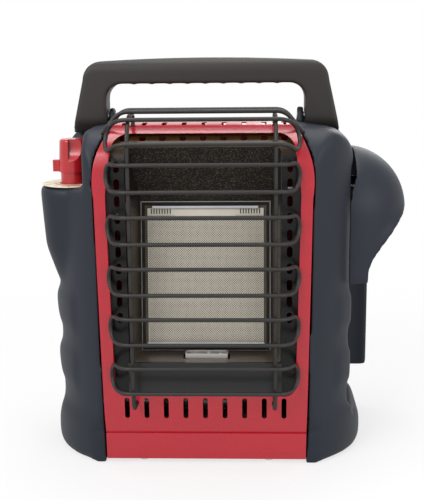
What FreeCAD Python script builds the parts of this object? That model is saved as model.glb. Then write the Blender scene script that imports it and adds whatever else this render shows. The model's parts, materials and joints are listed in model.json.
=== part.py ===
import FreeCAD, Part
import math
import os

# Portable propane heater, in millimetres. X to the right, front towards -Y, Z up, table at Z = 0.
# Shapes are built about the burner's centre line and are moved to the middle of the footprint at the end.

V = FreeCAD.Vector
X_AXIS = V(1, 0, 0)
Y_AXIS = V(0, 1, 0)
Z_AXIS = V(0, 0, 1)

# Casing of sheet steel
HALF_DEPTH = 88.0
SHEET = 1.2
SEAT = 0.2
BASE_GAP = 5.0
CREST_Z = 322.0
CREST_RADIUS = 42.0
PLINTH_TOP = 31.0
BEND_Z = 49.0
BOW_Z = 165.0
PLINTH_SET = 6.0
STEP_DEPTH = 1.6
BEND_SET = 2.5
CHEST_SET = 2.0
REAR_TOP_Z = CREST_Z - 13.0
REAR_SHOULDER_Z = CREST_Z - 40.0
CASING_HALF_HIGH = 99.0
CASING_HALF_LOW = CASING_HALF_HIGH - 4.0
CASING_CORNER_Z = CREST_Z - 64.0
CASING_TOP_HALF = CASING_HALF_HIGH - 19.0
FLOOR_FLANGE = 12.0
SPLIT_Y = -30.0
FRONT_OUTLINE_DROP = 8.0

# Opening in the front
OPEN_BOTTOM = 70.0
OPEN_TOP = CREST_Z - 7.0
OPEN_HALF_LOW = CASING_HALF_LOW - 10.5
OPEN_HALF_HIGH = CASING_HALF_HIGH - 10.5
OPEN_WIDE_Z = CASING_CORNER_Z + 4.0
OPEN_TOP_HALF = CASING_TOP_HALF + 2.0
OPEN_LOW_RADIUS = 10.0
OPEN_TOP_RADIUS = 16.0
OPEN_LIP = 5.0

# Slots, nine below the opening and nine on the crest
SLOT_COUNT = 9
SLOT_PITCH = 18.5
SLOT_WIDTH = 4.6
LOW_SLOT_BOTTOM = 47.5
LOW_SLOT_TOP = 68.0
TOP_SLOT_LENGTH = 20.0
TOP_SLOT_Y = -42.0
ROOF_SLOT_Y = 30.0
ROOF_SLOT_LENGTH = 44.0
LOUVRE_ROWS = 7
LOUVRE_PITCH = 12.0
LOUVRE_PITCH_X = 46.0
LOUVRE_LENGTH = 36.0
LOUVRE_WIDTH = 4.0
LOUVRE_LOW = 60.0
LOUVRE_HIGH = 196.0

# Moulded side covers
COVER_WALL = 3.0
COVER_GAP = 0.4
COVER_HALF = CASING_HALF_HIGH + 47.0
COVER_SHOULDER_HALF = CASING_HALF_HIGH + 41.0
COVER_SHOULDER_Z = CREST_Z - 37.0
COVER_SET = 1.2
FLARE = 7.0
FLARE_TOP = 46.0
FLARE_Z = 24.0
CORNER_FRONT_Y = -15.0
CORNER_REAR_Y = 35.0
GRIP_RELIEF = 4.5
GRIP_TOPS = (160.0, 104.0)
GRIP_FACE = 18.0
GRIP_TAPER = 14.0
GRIP_FRONT_Y = -64.0
GRIP_REAR_Y = 48.0
FOOT_RADIUS = 6.0

# Knob, dial and the tower below them
KNOB_X = -(CASING_HALF_HIGH + 28.0)
KNOB_Y = -28.0
LEDGE_Z = 264.0
TOWER_TOP_RADIUS = 32.0
TOWER_WAIST_RADIUS = 28.5
TOWER_WAIST_Z = 205.0
TOWER_FOOT_RADIUS = 18.0
TOWER_FOOT_Z = 172.0
NOTCH_WALL_X = -(CASING_HALF_HIGH + 12.0)
NOTCH_REAR_Y = 12.0
KNOB_COLLAR_RADIUS = 11.6
KNOB_RADIUS = 13.2
KNOB_TOP_RADIUS = 11.6
KNOB_TOP_Z = 307.0
KNOB_SHOULDER_Z = 276.0
POINTER_REACH = 18.5
POINTER_TOP_Z = 287.0
KNOB_TRAVEL = 4.0
DIAL_RADIUS = 29.5
DIAL_THICK = 0.8
RUNNING = 0.05
TIGHT = 0.02
LOOSE = 0.5

# Gas valve
VALVE_RADIUS = 16.0
VALVE_BOTTOM = 214.0
VALVE_CUP_Z = 250.0
VALVE_FLANGE_RADIUS = 23.0
VALVE_FLANGE = 3.0
VALVE_SCREW_REACH = VALVE_RADIUS + 3.5
ROTOR_RADIUS = 8.0
ROTOR_BOTTOM = 232.0
STEM_RADIUS = 4.0
SPRING_RADIUS = 6.6
KNOB_BOTTOM = LEDGE_Z - 8.0
KNOB_SOCKET_Z = KNOB_BOTTOM + 12.0
SUPPLY_END_X = KNOB_X + 20.0
PIEZO_X = -(CASING_HALF_HIGH + 8.0)
PIEZO_Y = 14.0
PIEZO_BOTTOM = 200.0
PIEZO_TOP = 240.0
PIEZO_CLIP_Z = 214.0
PIEZO_CLIP = 18.0

# Cylinder bay, hood and regulator
CYLINDER_RADIUS = 49.5
CYLINDER_X = CASING_HALF_HIGH + 55.0
BAY_Y = 10.0
BAY_RADIUS = 51.5
BAY_WALL = 2.0
BAY_FLOOR = 38.0
BAY_TOP = 280.0
HOOD_X = CASING_HALF_HIGH + 35.5
HOOD_RADIUS = 61.0
HOOD_CENTRE_Z = 234.5
HOOD_WALL = 2.6
HOOD_FOOT_Z = 172.0
HOOD_FOOT_X = CASING_HALF_HIGH + 57.0
HOOD_WIDEST_RISE = 8.0
CHEEK_Z = 206.0
PILLAR_X = CASING_HALF_HIGH + 69.0
PILLAR_LOW_Z = 50.0
PILLAR_REAR_Y = 80.0
PIVOT_X = CASING_HALF_HIGH + 15.0
PIVOT_Z = 250.0
REGULATOR_RADIUS = 22.0
REGULATOR_BOTTOM = 240.0
REGULATOR_TOP = 258.0
CAP_RADIUS = 14.0
CAP_TOP = 266.0
INLET_RADIUS = 15.0
INLET_MINOR_RADIUS = 12.0
INLET_BOTTOM = 226.0
INLET_DEPTH = 11.0
SEAL_RADIUS = 10.5
SEAL_THICK = 1.6
SEAL_BORE = 4.0
EYE_RADIUS = 7.0
EYE_LENGTH = 16.0
PIN_RADIUS = 3.0

# Heat shield behind the burner
SHIELD_DEPTH = 16.0
SHIELD_HALF = CASING_HALF_LOW - 13.0
SHIELD_LOW = 60.0
SHIELD_HIGH = REAR_SHOULDER_Z

# Heat shield frame, reflector and burner
FRAME_SET = 5.0
FRAME_SHEET = 0.8
FRAME_LAP = 4.0
WINDOW_HALF = OPEN_HALF_LOW - 13.5
WINDOW_BOTTOM = OPEN_BOTTOM + 31.0
WINDOW_TOP = OPEN_TOP - 12.0
VENT_COUNT = 10
VENT_PITCH = 15.6
VENT_TOP_Z = 286.0
VENT_WIDTH = 5.0
VENT_HEIGHT = 10.0
VENT_X = OPEN_HALF_HIGH - 10.0
PLAQUE_WIDTH = 116.0
PLAQUE_HEIGHT = 136.0
PLAQUE_THICK = 13.0
PLAQUE_Y = FRAME_SET + 38.0 - HALF_DEPTH
PLAQUE_Z = 176.0
PLAQUE_TILT = 8.0
GASKET = 3.0
GASKET_PROUD = 0.5
HOUSING_DEPTH = 25.0
REFLECTOR_Y = FRAME_SET + 4.0 - HALF_DEPTH
REFLECTOR_LEAN = 8.0
REFLECTOR_MARGIN = 1.0
SCREEN_THICK = 0.8
SCREEN_COLUMNS = 12
SCREEN_ROWS = 14
SCREEN_STRAND = 1.6
FRAME_TOP_STRIP = 9.0
FRAME_SIDE_STRIP = 2.5
FRAME_FOOT_STRIP = 7.0
LIP_HALF = WINDOW_HALF + 1.0
LIP_TOP = WINDOW_BOTTOM + 1.0
LIP_BEND_Z = OPEN_BOTTOM + 16.0
LIP_KICK = 2.4

# Wire guard
WIRE = 1.9
WELD = 0.05
GUARD_STAND = 22.0
LOOP_COUNT = 5
LOOP_FIRST_Z = 93.0
LOOP_PITCH = 46.6
LOOP_HALF_HEIGHT = 12.0
LOOP_STRAIGHT = 66.0
LOOP_BEND = 16.0
LOOP_TURN = 60.0
TOP_LOOP_TURN = 50.0
GUARD_BEND_Z = CREST_Z - 18.0
GUARD_BEND_RADIUS = 32.0
UPRIGHT_X = 65.0
UPRIGHT_LOW_Z = 70.0
UPRIGHT_HOOK_Y = -54.0
UPRIGHT_HOOK_DIP = 4.5
SECOND_LOOP_ANGLE = 32.0
TOP_LOOP_SHIFT = 4.0
LOW_HOOK_DROP = 7.0

# Carry handle
HANDLE_INNER_HALF = CASING_HALF_HIGH - 3.5
HANDLE_CROWN = 3.0
HANDLE_HALF_TOP = HANDLE_INNER_HALF + 12.5
HANDLE_HALF_MIDDLE = HANDLE_INNER_HALF + 22.5
HANDLE_HALF_LOW = HANDLE_INNER_HALF + 35.0
HANDLE_DEPTH = 31.0
PIVOT_Y = 5.0
HINGE_Z = CREST_Z + 3.0
HANDLE_RISE = 56.0
HANDLE_TOP = HINGE_Z + HANDLE_RISE
HANDLE_GRIP = 24.0
HANDLE_INNER_TOP = HANDLE_TOP - HANDLE_GRIP
HANDLE_FOLD = 76.0
HANDLE_CLEAR = 0.8
HANDLE_PIN_RADIUS = 4.0
LUG_INNER = HANDLE_INNER_HALF - 7.5
LUG_RADIUS = 9.0
NUB_COUNT = 9
NUB_PITCH = 17.2
NUB_RADIUS = 2.2
NUB_DROP = 1.4
HANDLE_PIN_END = HANDLE_INNER_HALF + 25.5

# Gas pipes
SUPPLY_RADIUS = 4.0
PILOT_PIPE_RADIUS = 2.0
LEAD_RADIUS = 1.3
PIPE_BEND = 12.0
PIPE_WALL = 1.0
SUPPLY_Y = 46.0
SUPPLY_Z = 232.0
BURNER_PIPE_Z = 44.0
VENTURI_RADIUS = 8.0
VENTURI_Y = -30.0
VENTURI_X = 44.0
ORIFICE_X = -30.0
PILOT_X = 1.0
PILOT_Y = REFLECTOR_Y + 13.0
PILOT_Z = 58.0
SUPPLY_START_X = CASING_HALF_HIGH - 3.0

# Switch that shuts the gas off when the heater tips over
TIP_X = -58.0
TIP_Y = 34.0
TIP_FLOOR = BASE_GAP + 2 * SHEET + 2 * SEAT
TIP_WIDTH = 34.0
TIP_DEPTH = 18.0
TIP_HEIGHT = 40.0
TIP_PIVOT_Z = TIP_FLOOR + 32.0
TIP_SWING = 20.0

# Screws
SCREW_RADIUS = 2.0
SCREW_HEAD = 4.0
SCREW_HEAD_HEIGHT = 2.4
BOSS_RADIUS = 5.5
BASE_SCREW_X = CASING_HALF_LOW - 35.0
SCREW_END_X = CASING_HALF_HIGH + 11.0
COVER_SCREW_FRONT_Y = -56.0
COVER_SCREW_REAR_Y = 70.0
COVER_SCREW_LOW_Z = 66.0
COVER_SCREW_HIGH_Z = 240.0

# Footprint, from the front wires to the back and from the tower to the hood
LEFT_REACH = TOWER_TOP_RADIUS - KNOB_X
RIGHT_REACH = HOOD_X + HOOD_RADIUS
FRONT_REACH = HALF_DEPTH + GUARD_STAND + WIRE
CENTRE_X = (RIGHT_REACH - LEFT_REACH) / 2
CENTRE_Y = (HALF_DEPTH - FRONT_REACH) / 2
FAR = 400.0


def point(plane, u, v, w=0.0):
    if plane == "yz":
        return V(w, u, v)
    if plane == "xz":
        return V(u, w, v)
    return V(u, v, w)


def outline(plane, start, steps):
    """Closed wire of lines, given as ends, and arcs, given as a middle and an end."""
    edges = []
    here = point(plane, *start)
    for step in list(steps) + [start]:
        end = point(plane, *step[-2:])
        if (end - here).Length < 1e-6:
            continue
        if len(step) == 4:
            edges.append(Part.Arc(here, point(plane, *step[:2]), end).toShape())
        else:
            edges.append(Part.makeLine(here, end))
        here = end
    return Part.Wire(edges)


def rounded_path(points, radii):
    """Edges of straight runs joined by tangent arcs, one radius for each inner point."""
    edges = []
    here = points[0]
    for before, corner, after, radius in zip(points, points[1:], points[2:], radii):
        back = (before - corner).normalize()
        on = (after - corner).normalize()
        half = back.getAngle(on) / 2
        reach = radius / math.tan(half)
        middle = (back + on).normalize()
        into = corner + back * reach
        out = corner + on * reach
        via = corner + middle * (radius / math.sin(half) - radius)
        if (into - here).Length > 1e-6:
            edges.append(Part.makeLine(here, into))
        edges.append(Part.Arc(into, via, out).toShape())
        here = out
    edges.append(Part.makeLine(here, points[-1]))
    return edges


def rounded(plane, corners):
    """Closed wire through corners given as u, v and a radius."""
    edges = []
    places = [point(plane, u, v) for u, v, radius in corners]
    ends = []
    count = len(corners)
    for index, (u, v, radius) in enumerate(corners):
        corner = places[index]
        back = (places[index - 1] - corner).normalize()
        on = (places[(index + 1) % count] - corner).normalize()
        half = back.getAngle(on) / 2
        reach = radius / math.tan(half)
        via = corner + (back + on).normalize() * (radius / math.sin(half) - radius)
        ends.append((corner + back * reach, via, corner + on * reach, radius))
    for index, (into, via, out, radius) in enumerate(ends):
        if radius > 0:
            edges.append(Part.Arc(into, via, out).toShape())
        after = ends[(index + 1) % count][0]
        if (after - out).Length > 1e-6:
            edges.append(Part.makeLine(out, after))
    return Part.Wire(edges)


def prism(plane, wire, low, high):
    """Solid of a closed wire from low to high along its plane's normal."""
    normal = point(plane, 0, 0, 1)
    face = Part.Face(wire)
    face.translate(normal * low)
    return face.extrude(normal * (high - low))


def inset(wire, amount):
    return wire.makeOffset2D(-amount) if amount else wire


def box(low, high):
    size = V(*high) - V(*low)
    return Part.makeBox(size.x, size.y, size.z, V(*low))


def rod(radius, start, end):
    along = V(*end) - V(*start)
    return Part.makeCylinder(radius, along.Length, V(*start), along)


def taper(start_radius, end_radius, start, end):
    along = V(*end) - V(*start)
    return Part.makeCone(start_radius, end_radius, along.Length, V(*start), along)


def pipe(points, bends, outer, inner=0.0):
    """Round bar or tube along straight runs joined by arcs."""
    places = [V(*place) for place in points]
    edges = rounded_path(places, bends)
    return swept(edges, places[0], places[1] - places[0], outer, inner)


def swept(edges, start, direction, outer, inner=0.0):
    spine = Part.Wire(edges)
    solids = []
    for radius in (outer, inner):
        if radius:
            ring = Part.Wire(Part.makeCircle(radius, start, direction))
            solids.append(spine.makePipeShell([ring], True, True))
    return solids[0].cut(solids[1]) if inner else solids[0]


def slot(plane, u, v, width, length, low, high, upright=True):
    """Straight slot with round ends, centred on u and v."""
    radius = width / 2
    half = length / 2 - radius
    if upright:
        wire = outline(plane, (u - radius, v - half),
                       [(u, v - half - radius, u + radius, v - half), (u + radius, v + half),
                        (u, v + half + radius, u - radius, v + half)])
    else:
        wire = outline(plane, (u - half, v + radius),
                       [(u - half - radius, v, u - half, v - radius), (u + half, v - radius),
                        (u + half + radius, v, u + half, v + radius)])
    return prism(plane, wire, low, high)


def fuse(shapes):
    first, rest = shapes[0], shapes[1:]
    return first.fuse(rest).removeSplitter() if rest else first


def group(shapes):
    return Part.makeCompound(shapes)


def mirrored(shape):
    return shape.mirror(V(0, 0, 0), X_AXIS)


# Casing

def side_outline(floor=BASE_GAP, stepped=True):
    """Outline seen from the side, with the small step over the plinth or plain under it."""
    front = -HALF_DEPTH
    crest_y = front + CHEST_SET + CREST_RADIUS
    chest_z = CREST_Z - CREST_RADIUS
    diagonal = CREST_RADIUS * math.sqrt(0.5)
    foot_y = front + PLINTH_SET
    inner_y = foot_y + STEP_DEPTH
    plinth = [(foot_y, PLINTH_TOP), (inner_y, PLINTH_TOP)] if stepped else []
    return outline("yz", (foot_y if stepped else inner_y, floor), plinth + [
        (front + BEND_SET, BEND_Z),
        (front, BOW_Z, front + CHEST_SET, chest_z),
        (crest_y - diagonal, chest_z + diagonal, crest_y, CREST_Z),
        (12, CREST_Z - 3, HALF_DEPTH - 26, REAR_TOP_Z),
        (HALF_DEPTH - 7.5, REAR_TOP_Z - 9, HALF_DEPTH, REAR_SHOULDER_Z),
        (HALF_DEPTH, floor)])


def front_outline():
    top = CREST_Z + 6
    return outline("xz", (-CASING_HALF_LOW, BASE_GAP - FRONT_OUTLINE_DROP), [
        (CASING_HALF_LOW, BASE_GAP - FRONT_OUTLINE_DROP),
        (CASING_HALF_HIGH, CASING_CORNER_Z),
        (CASING_HALF_HIGH - 4, CREST_Z - 22, CASING_TOP_HALF, CREST_Z + 3),
        (CASING_TOP_HALF - 2, top),
        (2 - CASING_TOP_HALF, top),
        (-CASING_TOP_HALF, CREST_Z + 3),
        (4 - CASING_HALF_HIGH, CREST_Z - 22, -CASING_HALF_HIGH, CASING_CORNER_Z)])


def casing_form(amount):
    side = prism("yz", inset(side_outline(stepped=amount <= SHEET), amount), -FAR, FAR)
    front = prism("xz", inset(front_outline(), amount), -FAR, FAR)
    return side.common(front)


def casing_sheet():
    """Skin of the steel casing with a return flange round its open floor."""
    skin = casing_form(0).cut(casing_form(SHEET))
    lap = SHEET + FLOOR_FLANGE
    hollow = box((lap - CASING_HALF_LOW, lap - HALF_DEPTH + PLINTH_SET, 0),
                 (CASING_HALF_LOW - lap, HALF_DEPTH - lap, BASE_GAP + 2 * SHEET))
    return skin.cut(hollow)


def opening_outline():
    return rounded("xz", [
        (-OPEN_HALF_LOW, OPEN_BOTTOM, OPEN_LOW_RADIUS), (OPEN_HALF_LOW, OPEN_BOTTOM, OPEN_LOW_RADIUS),
        (OPEN_HALF_HIGH, OPEN_WIDE_Z, 60), (OPEN_TOP_HALF, OPEN_TOP, OPEN_TOP_RADIUS),
        (-OPEN_TOP_HALF, OPEN_TOP, OPEN_TOP_RADIUS), (-OPEN_HALF_HIGH, OPEN_WIDE_Z, 60)])


def slot_places():
    half = (SLOT_COUNT - 1) / 2
    return [(index - half) * SLOT_PITCH for index in range(SLOT_COUNT)]


def front_bezel(sheet):
    front = sheet.common(box((-FAR, -FAR, 0), (FAR, SPLIT_Y - SEAT / 2, FAR)))
    opening = opening_outline()
    lip_block = prism("xz", inset(opening, -SHEET), -FAR, 0).cut(prism("xz", opening, -FAR, 0))
    lip = lip_block.common(casing_form(SHEET / 2).cut(casing_form(OPEN_LIP)))
    lip = lip.common(box((-FAR, -HALF_DEPTH, 0), (FAR, -HALF_DEPTH / 2, FAR)))
    cuts = [prism("xz", opening, -FAR, -HALF_DEPTH / 2)]
    middle = (LOW_SLOT_BOTTOM + LOW_SLOT_TOP) / 2
    for x in slot_places():
        cuts.append(slot("xz", x, middle, SLOT_WIDTH, LOW_SLOT_TOP - LOW_SLOT_BOTTOM, -FAR, -HALF_DEPTH / 2))
        cuts.append(slot("xy", x, TOP_SLOT_Y, SLOT_WIDTH, TOP_SLOT_LENGTH, CREST_Z - 20, FAR))
    for x in (-UPRIGHT_X, UPRIGHT_X):
        cuts.append(rod(WIRE + LOOSE, (x, UPRIGHT_HOOK_Y, CREST_Z - 20), (x, UPRIGHT_HOOK_Y, CREST_Z + 20)))
        cuts.append(rod(WIRE + LOOSE, (x, -FAR, UPRIGHT_LOW_Z - LOW_HOOK_DROP),
                        (x, -HALF_DEPTH / 2, UPRIGHT_LOW_Z - LOW_HOOK_DROP)))
    cuts += base_screw_holes(-1)
    return front.fuse(lip).cut(cuts)


def base_screw_places(side):
    """Screws under the front or the rear flange of the casing's floor."""
    inward = SHEET + FLOOR_FLANGE / 2
    y = HALF_DEPTH - inward if side > 0 else inward - HALF_DEPTH + PLINTH_SET
    return [(x, y) for x in (-BASE_SCREW_X, BASE_SCREW_X)]


def base_screw_holes(side):
    top = BASE_GAP + 4 * SHEET
    return [rod(SCREW_RADIUS + SEAT, (x, y, 0), (x, y, top)) for x, y in base_screw_places(side)]


def base_screws():
    screws = []
    for side in (-1, 1):
        for x, y in base_screw_places(side):
            head = rod(SCREW_HEAD, (x, y, BASE_GAP - SEAT - SCREW_HEAD_HEIGHT), (x, y, BASE_GAP - SEAT))
            shank = rod(SCREW_RADIUS, (x, y, BASE_GAP - 1), (x, y, BASE_GAP + 4 * SHEET))
            screws.append(head.fuse(shank))
    return group(screws)


def pilot_run():
    """Ends of the pilot tube's leg across the casing."""
    return (KNOB_X + 12, KNOB_Y + 3, PILOT_Z), (PILOT_X - 11, KNOB_Y + 15, PILOT_Z)


def thermocouple_run():
    """Ends of the thermocouple lead's leg across the casing."""
    z = PILOT_Z + 8
    return (KNOB_X + 7, KNOB_Y + 10, z), (PILOT_X + 2, KNOB_Y + 26, z)


def igniter_run():
    """Ends of the igniter lead's leg across the casing."""
    z = PILOT_Z + 14
    return (PIEZO_X, PIEZO_Y, z), (PILOT_X + 13, PIEZO_Y, z)


def side_wall_holes():
    """Ways through the casing's side walls for pipes and leads."""
    left = -FAR
    return [
        rod(SUPPLY_RADIUS + 2, (left, KNOB_Y, SUPPLY_Z), (0, KNOB_Y, SUPPLY_Z)),
        rod(SUPPLY_RADIUS + 2, (left, VENTURI_Y + 1, BURNER_PIPE_Z), (0, VENTURI_Y + 1, BURNER_PIPE_Z)),
        rod(PILOT_PIPE_RADIUS + 1.5, *pilot_run()),
        rod(LEAD_RADIUS + 2, *thermocouple_run()),
        rod(LEAD_RADIUS + 2, (left, PIEZO_Y, PILOT_Z + 14), (0, PIEZO_Y, PILOT_Z + 14)),
        rod(SUPPLY_RADIUS + 2, (0, BAY_Y, PIVOT_Z), (FAR, BAY_Y, PIVOT_Z))]


def cover_screw_places():
    return [(y, z) for y in (COVER_SCREW_FRONT_Y, COVER_SCREW_REAR_Y)
            for z in (COVER_SCREW_LOW_Z, COVER_SCREW_HIGH_Z)]


def casing_half(z):
    """Half width of the casing's outside at a height below its rounded corners."""
    share = (z - BASE_GAP + FRONT_OUTLINE_DROP) / (CASING_CORNER_Z - BASE_GAP + FRONT_OUTLINE_DROP)
    return CASING_HALF_LOW + (CASING_HALF_HIGH - CASING_HALF_LOW) * share


def rear_casing(sheet):
    rear = sheet.common(box((-FAR, SPLIT_Y + SEAT / 2, 0), (FAR, FAR, FAR)))
    louvres = []
    for row in range(LOUVRE_ROWS):
        for x in (-LOUVRE_PITCH_X, 0.0, LOUVRE_PITCH_X):
            for low in (LOUVRE_LOW, LOUVRE_HIGH):
                z = low + LOUVRE_PITCH * row
                louvres.append(slot("xz", x, z, LOUVRE_WIDTH, LOUVRE_LENGTH, 0, FAR, False))
    for x in slot_places():
        louvres.append(slot("xy", x, ROOF_SLOT_Y, SLOT_WIDTH, ROOF_SLOT_LENGTH, REAR_SHOULDER_Z, FAR))
    return rear.cut(louvres + base_screw_holes(1))


def base_pan():
    outer = SHEET + SEAT
    tray = casing_form(outer).cut(casing_form(outer + SHEET))
    tray = tray.common(box((-FAR, -FAR, 0), (FAR, FAR, BASE_GAP + 15)))
    return tray.cut(base_screw_holes(-1) + base_screw_holes(1))


def rear_heat_shield():
    """Channel of thin sheet between the burner and the louvred back."""
    back = HALF_DEPTH - SHEET - SEAT
    front = back - SHIELD_DEPTH
    web = box((-SHIELD_HALF, front, SHIELD_LOW), (SHIELD_HALF, front + FRAME_SHEET, SHIELD_HIGH))
    flanges = [box((x, front, SHIELD_LOW), (x + FRAME_SHEET, back, SHIELD_HIGH))
               for x in (-SHIELD_HALF, SHIELD_HALF - FRAME_SHEET)]
    return fuse([web] + flanges)


# Side covers

def cover_front_outline():
    low = COVER_HALF + FLARE
    return outline("xz", (-10, 0), [
        (low - FOOT_RADIUS, 0),
        (low - 1.8, 1.8, low, FOOT_RADIUS),
        (low, FLARE_Z),
        (COVER_HALF, FLARE_TOP),
        (COVER_HALF, 205),
        (COVER_SHOULDER_HALF, COVER_SHOULDER_Z),
        (COVER_SHOULDER_HALF - 8, COVER_SHOULDER_Z + 23, 108, CREST_Z - 4.5),
        (70, CREST_Z + 1),
        (-10, CREST_Z + 1)])


def cover_side_outline():
    return inset(side_outline(-COVER_SET), COVER_SET)


def cover_plan_outline():
    wide = COVER_HALF + FLARE
    return outline("xy", (-10, -HALF_DEPTH), [
        (CASING_HALF_LOW - 4, -HALF_DEPTH),
        (wide - 23, -62, wide, CORNER_FRONT_Y),
        (wide, CORNER_REAR_Y),
        (wide - 20, 72, CASING_HALF_LOW + 12, HALF_DEPTH),
        (-10, HALF_DEPTH)])


def cover_upper_plan():
    wide = COVER_HALF
    return outline("xy", (-10, -HALF_DEPTH), [
        (CASING_HALF_LOW - 1, -HALF_DEPTH),
        (wide - 22, -64, wide, CORNER_FRONT_Y),
        (wide, CORNER_REAR_Y),
        (wide - 16, 72, CASING_HALF_LOW + 12, HALF_DEPTH),
        (-10, HALF_DEPTH)])


def grip_pads(amount):
    """Raised grips on the side wall, each tapering away downwards."""
    pads = []
    wall = COVER_HALF - amount
    for top in GRIP_TOPS:
        wire = outline("xz", (wall - 40, top), [
            (wall, top), (wall + GRIP_RELIEF, top - 3), (wall + GRIP_RELIEF, top - GRIP_FACE),
            (wall, top - GRIP_FACE - GRIP_TAPER), (wall - 40, top - GRIP_FACE - GRIP_TAPER)])
        plan = outline("xy", (60, GRIP_FRONT_Y), [
            (wall - 22 + 2.5, GRIP_FRONT_Y + amount),
            (wall - 7, GRIP_FRONT_Y + 18, wall + GRIP_RELIEF, CORNER_FRONT_Y),
            (wall + GRIP_RELIEF, GRIP_REAR_Y - 14), (wall - 4, GRIP_REAR_Y), (60, GRIP_REAR_Y)])
        pads.append(prism("xz", wire, -FAR, FAR).common(prism("xy", plan, 0, FAR)))
    return pads


def cover_form(amount):
    """Outer form of the right cover, or its hollow when an amount is given."""
    side = prism("yz", inset(cover_side_outline(), amount), 0, FAR)
    front = prism("xz", inset(cover_front_outline(), amount), -FAR, FAR)
    low = prism("xy", inset(cover_plan_outline(), amount), 0, FLARE_TOP)
    high = prism("xy", inset(cover_upper_plan(), amount), FLARE_TOP - 1, FAR)
    return side.common(front).common(low.fuse(high)).fuse(grip_pads(amount)).removeSplitter()


def handle_sweep():
    """Room that a handle's leg takes beside its lug, from upright to folded."""
    radius = HANDLE_DEPTH / 2 + HANDLE_CLEAR
    low = HANDLE_INNER_HALF - 0.4
    high = HANDLE_HALF_LOW + 6
    fold = math.radians(HANDLE_FOLD)
    down_y = PIVOT_Y + radius * math.cos(fold)
    down_z = HINGE_Z - radius * math.sin(fold)
    far_y = down_y + FAR * math.sin(fold)
    far_z = down_z + FAR * math.cos(fold)
    wire = outline("yz", (PIVOT_Y - radius, HINGE_Z), [
        (PIVOT_Y, HINGE_Z - radius, down_y, down_z), (far_y, far_z), (PIVOT_Y - radius, FAR)])
    return prism("yz", wire, low, high)


def handle_lug():
    outer = HANDLE_INNER_HALF - 0.4
    block = box((LUG_INNER, PIVOT_Y - LUG_RADIUS, HINGE_Z - 30), (outer, PIVOT_Y + LUG_RADIUS, HINGE_Z))
    top = rod(LUG_RADIUS, (LUG_INNER, PIVOT_Y, HINGE_Z), (outer, PIVOT_Y, HINGE_Z))
    return block.fuse(top)


def cover_bosses():
    """Posts inside the cover, bored for the screws that come through the casing's side wall."""
    posts, bores = [], []
    for y, z in cover_screw_places():
        posts.append(rod(BOSS_RADIUS, (CASING_HALF_LOW - 5, y, z), (COVER_HALF + FLARE, y, z)))
        bores.append(rod(SCREW_RADIUS + RUNNING, (CASING_HALF_LOW - 5, y, z), (SCREW_END_X + LOOSE, y, z)))
    return posts, bores


def cover_shell(form, hollow):
    posts, bores = cover_bosses()
    posts = [post.common(form) for post in posts]
    lug = handle_lug()
    room = prism("xz", inset(front_outline(), -COVER_GAP), -FAR, FAR)
    trough = form.common(sweep_lining())
    shell = form.cut(hollow).fuse(posts + [trough]).cut(handle_sweep())
    shell = shell.fuse(lug).cut(room)
    pin = rod(HANDLE_PIN_RADIUS + TIGHT, (LUG_INNER - 1, PIVOT_Y, HINGE_Z), (FAR, PIVOT_Y, HINGE_Z))
    return shell.cut(bores + [pin])


def sweep_lining():
    """Wall under the room for the handle's leg."""
    radius = HANDLE_DEPTH / 2 + HANDLE_CLEAR + COVER_WALL
    fold = math.radians(HANDLE_FOLD)
    down_y = PIVOT_Y + radius * math.cos(fold)
    down_z = HINGE_Z - radius * math.sin(fold)
    far_y = down_y + FAR * math.sin(fold)
    far_z = down_z + FAR * math.cos(fold)
    wire = outline("yz", (PIVOT_Y - radius, HINGE_Z), [
        (PIVOT_Y, HINGE_Z - radius, down_y, down_z), (far_y, far_z), (PIVOT_Y - radius, FAR)])
    return prism("yz", wire, HANDLE_INNER_HALF - 0.4 - COVER_WALL, HANDLE_HALF_LOW + 6 + COVER_WALL)


def tower(amount):
    """Round tower that carries the dial, blending into the wall below."""
    x, y = -KNOB_X, KNOB_Y
    waist = TOWER_WAIST_RADIUS - amount
    upper = taper(waist, TOWER_TOP_RADIUS - amount, (x, y, TOWER_WAIST_Z), (x, y, LEDGE_Z - amount))
    lower = taper(TOWER_FOOT_RADIUS - amount, waist, (x, y, TOWER_FOOT_Z + amount), (x, y, TOWER_WAIST_Z))
    return upper.fuse(lower)


def knob_notch(amount):
    wire = rounded("xy", [
        (-NOTCH_WALL_X - amount, -FAR / 2, 0), (FAR / 2, -FAR / 2, 0),
        (FAR / 2, NOTCH_REAR_Y + amount, 0), (-NOTCH_WALL_X - amount, NOTCH_REAR_Y + amount, 14 + amount)])
    return prism("xy", wire, LEDGE_Z - amount, FAR)


def left_side_cover():
    form = cover_form(0).fuse(tower(0)).cut(knob_notch(0))
    hollow = cover_form(COVER_WALL).fuse(tower(COVER_WALL)).cut(knob_notch(COVER_WALL))
    shell = cover_shell(form, hollow)
    collar_hole = rod(KNOB_COLLAR_RADIUS + LOOSE, (-KNOB_X, KNOB_Y, LEDGE_Z - 10), (-KNOB_X, KNOB_Y, LEDGE_Z + 10))
    screw_holes = [rod(SCREW_RADIUS, (x, y, LEDGE_Z - COVER_WALL - 1), (x, y, LEDGE_Z - 1))
                   for x, y in valve_screw_places()]
    return mirrored(shell.cut([collar_hole] + screw_holes))


def bay(radius, low, high):
    return rod(radius, (CYLINDER_X, BAY_Y, low), (CYLINDER_X, BAY_Y, high))


def right_side_cover():
    form = cover_form(0)
    hollow = cover_form(COVER_WALL)
    shell = cover_shell(form, hollow)
    lining = bay(BAY_RADIUS + BAY_WALL, BAY_FLOOR - COVER_WALL, BAY_TOP + BAY_WALL).common(form)
    room = bay(BAY_RADIUS, BAY_FLOOR, BAY_TOP)
    pipe_way = rod(SUPPLY_RADIUS + LOOSE, (80, BAY_Y, PIVOT_Z), (CYLINDER_X, BAY_Y, PIVOT_Z))
    return shell.fuse(lining).cut([room, pipe_way])


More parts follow.
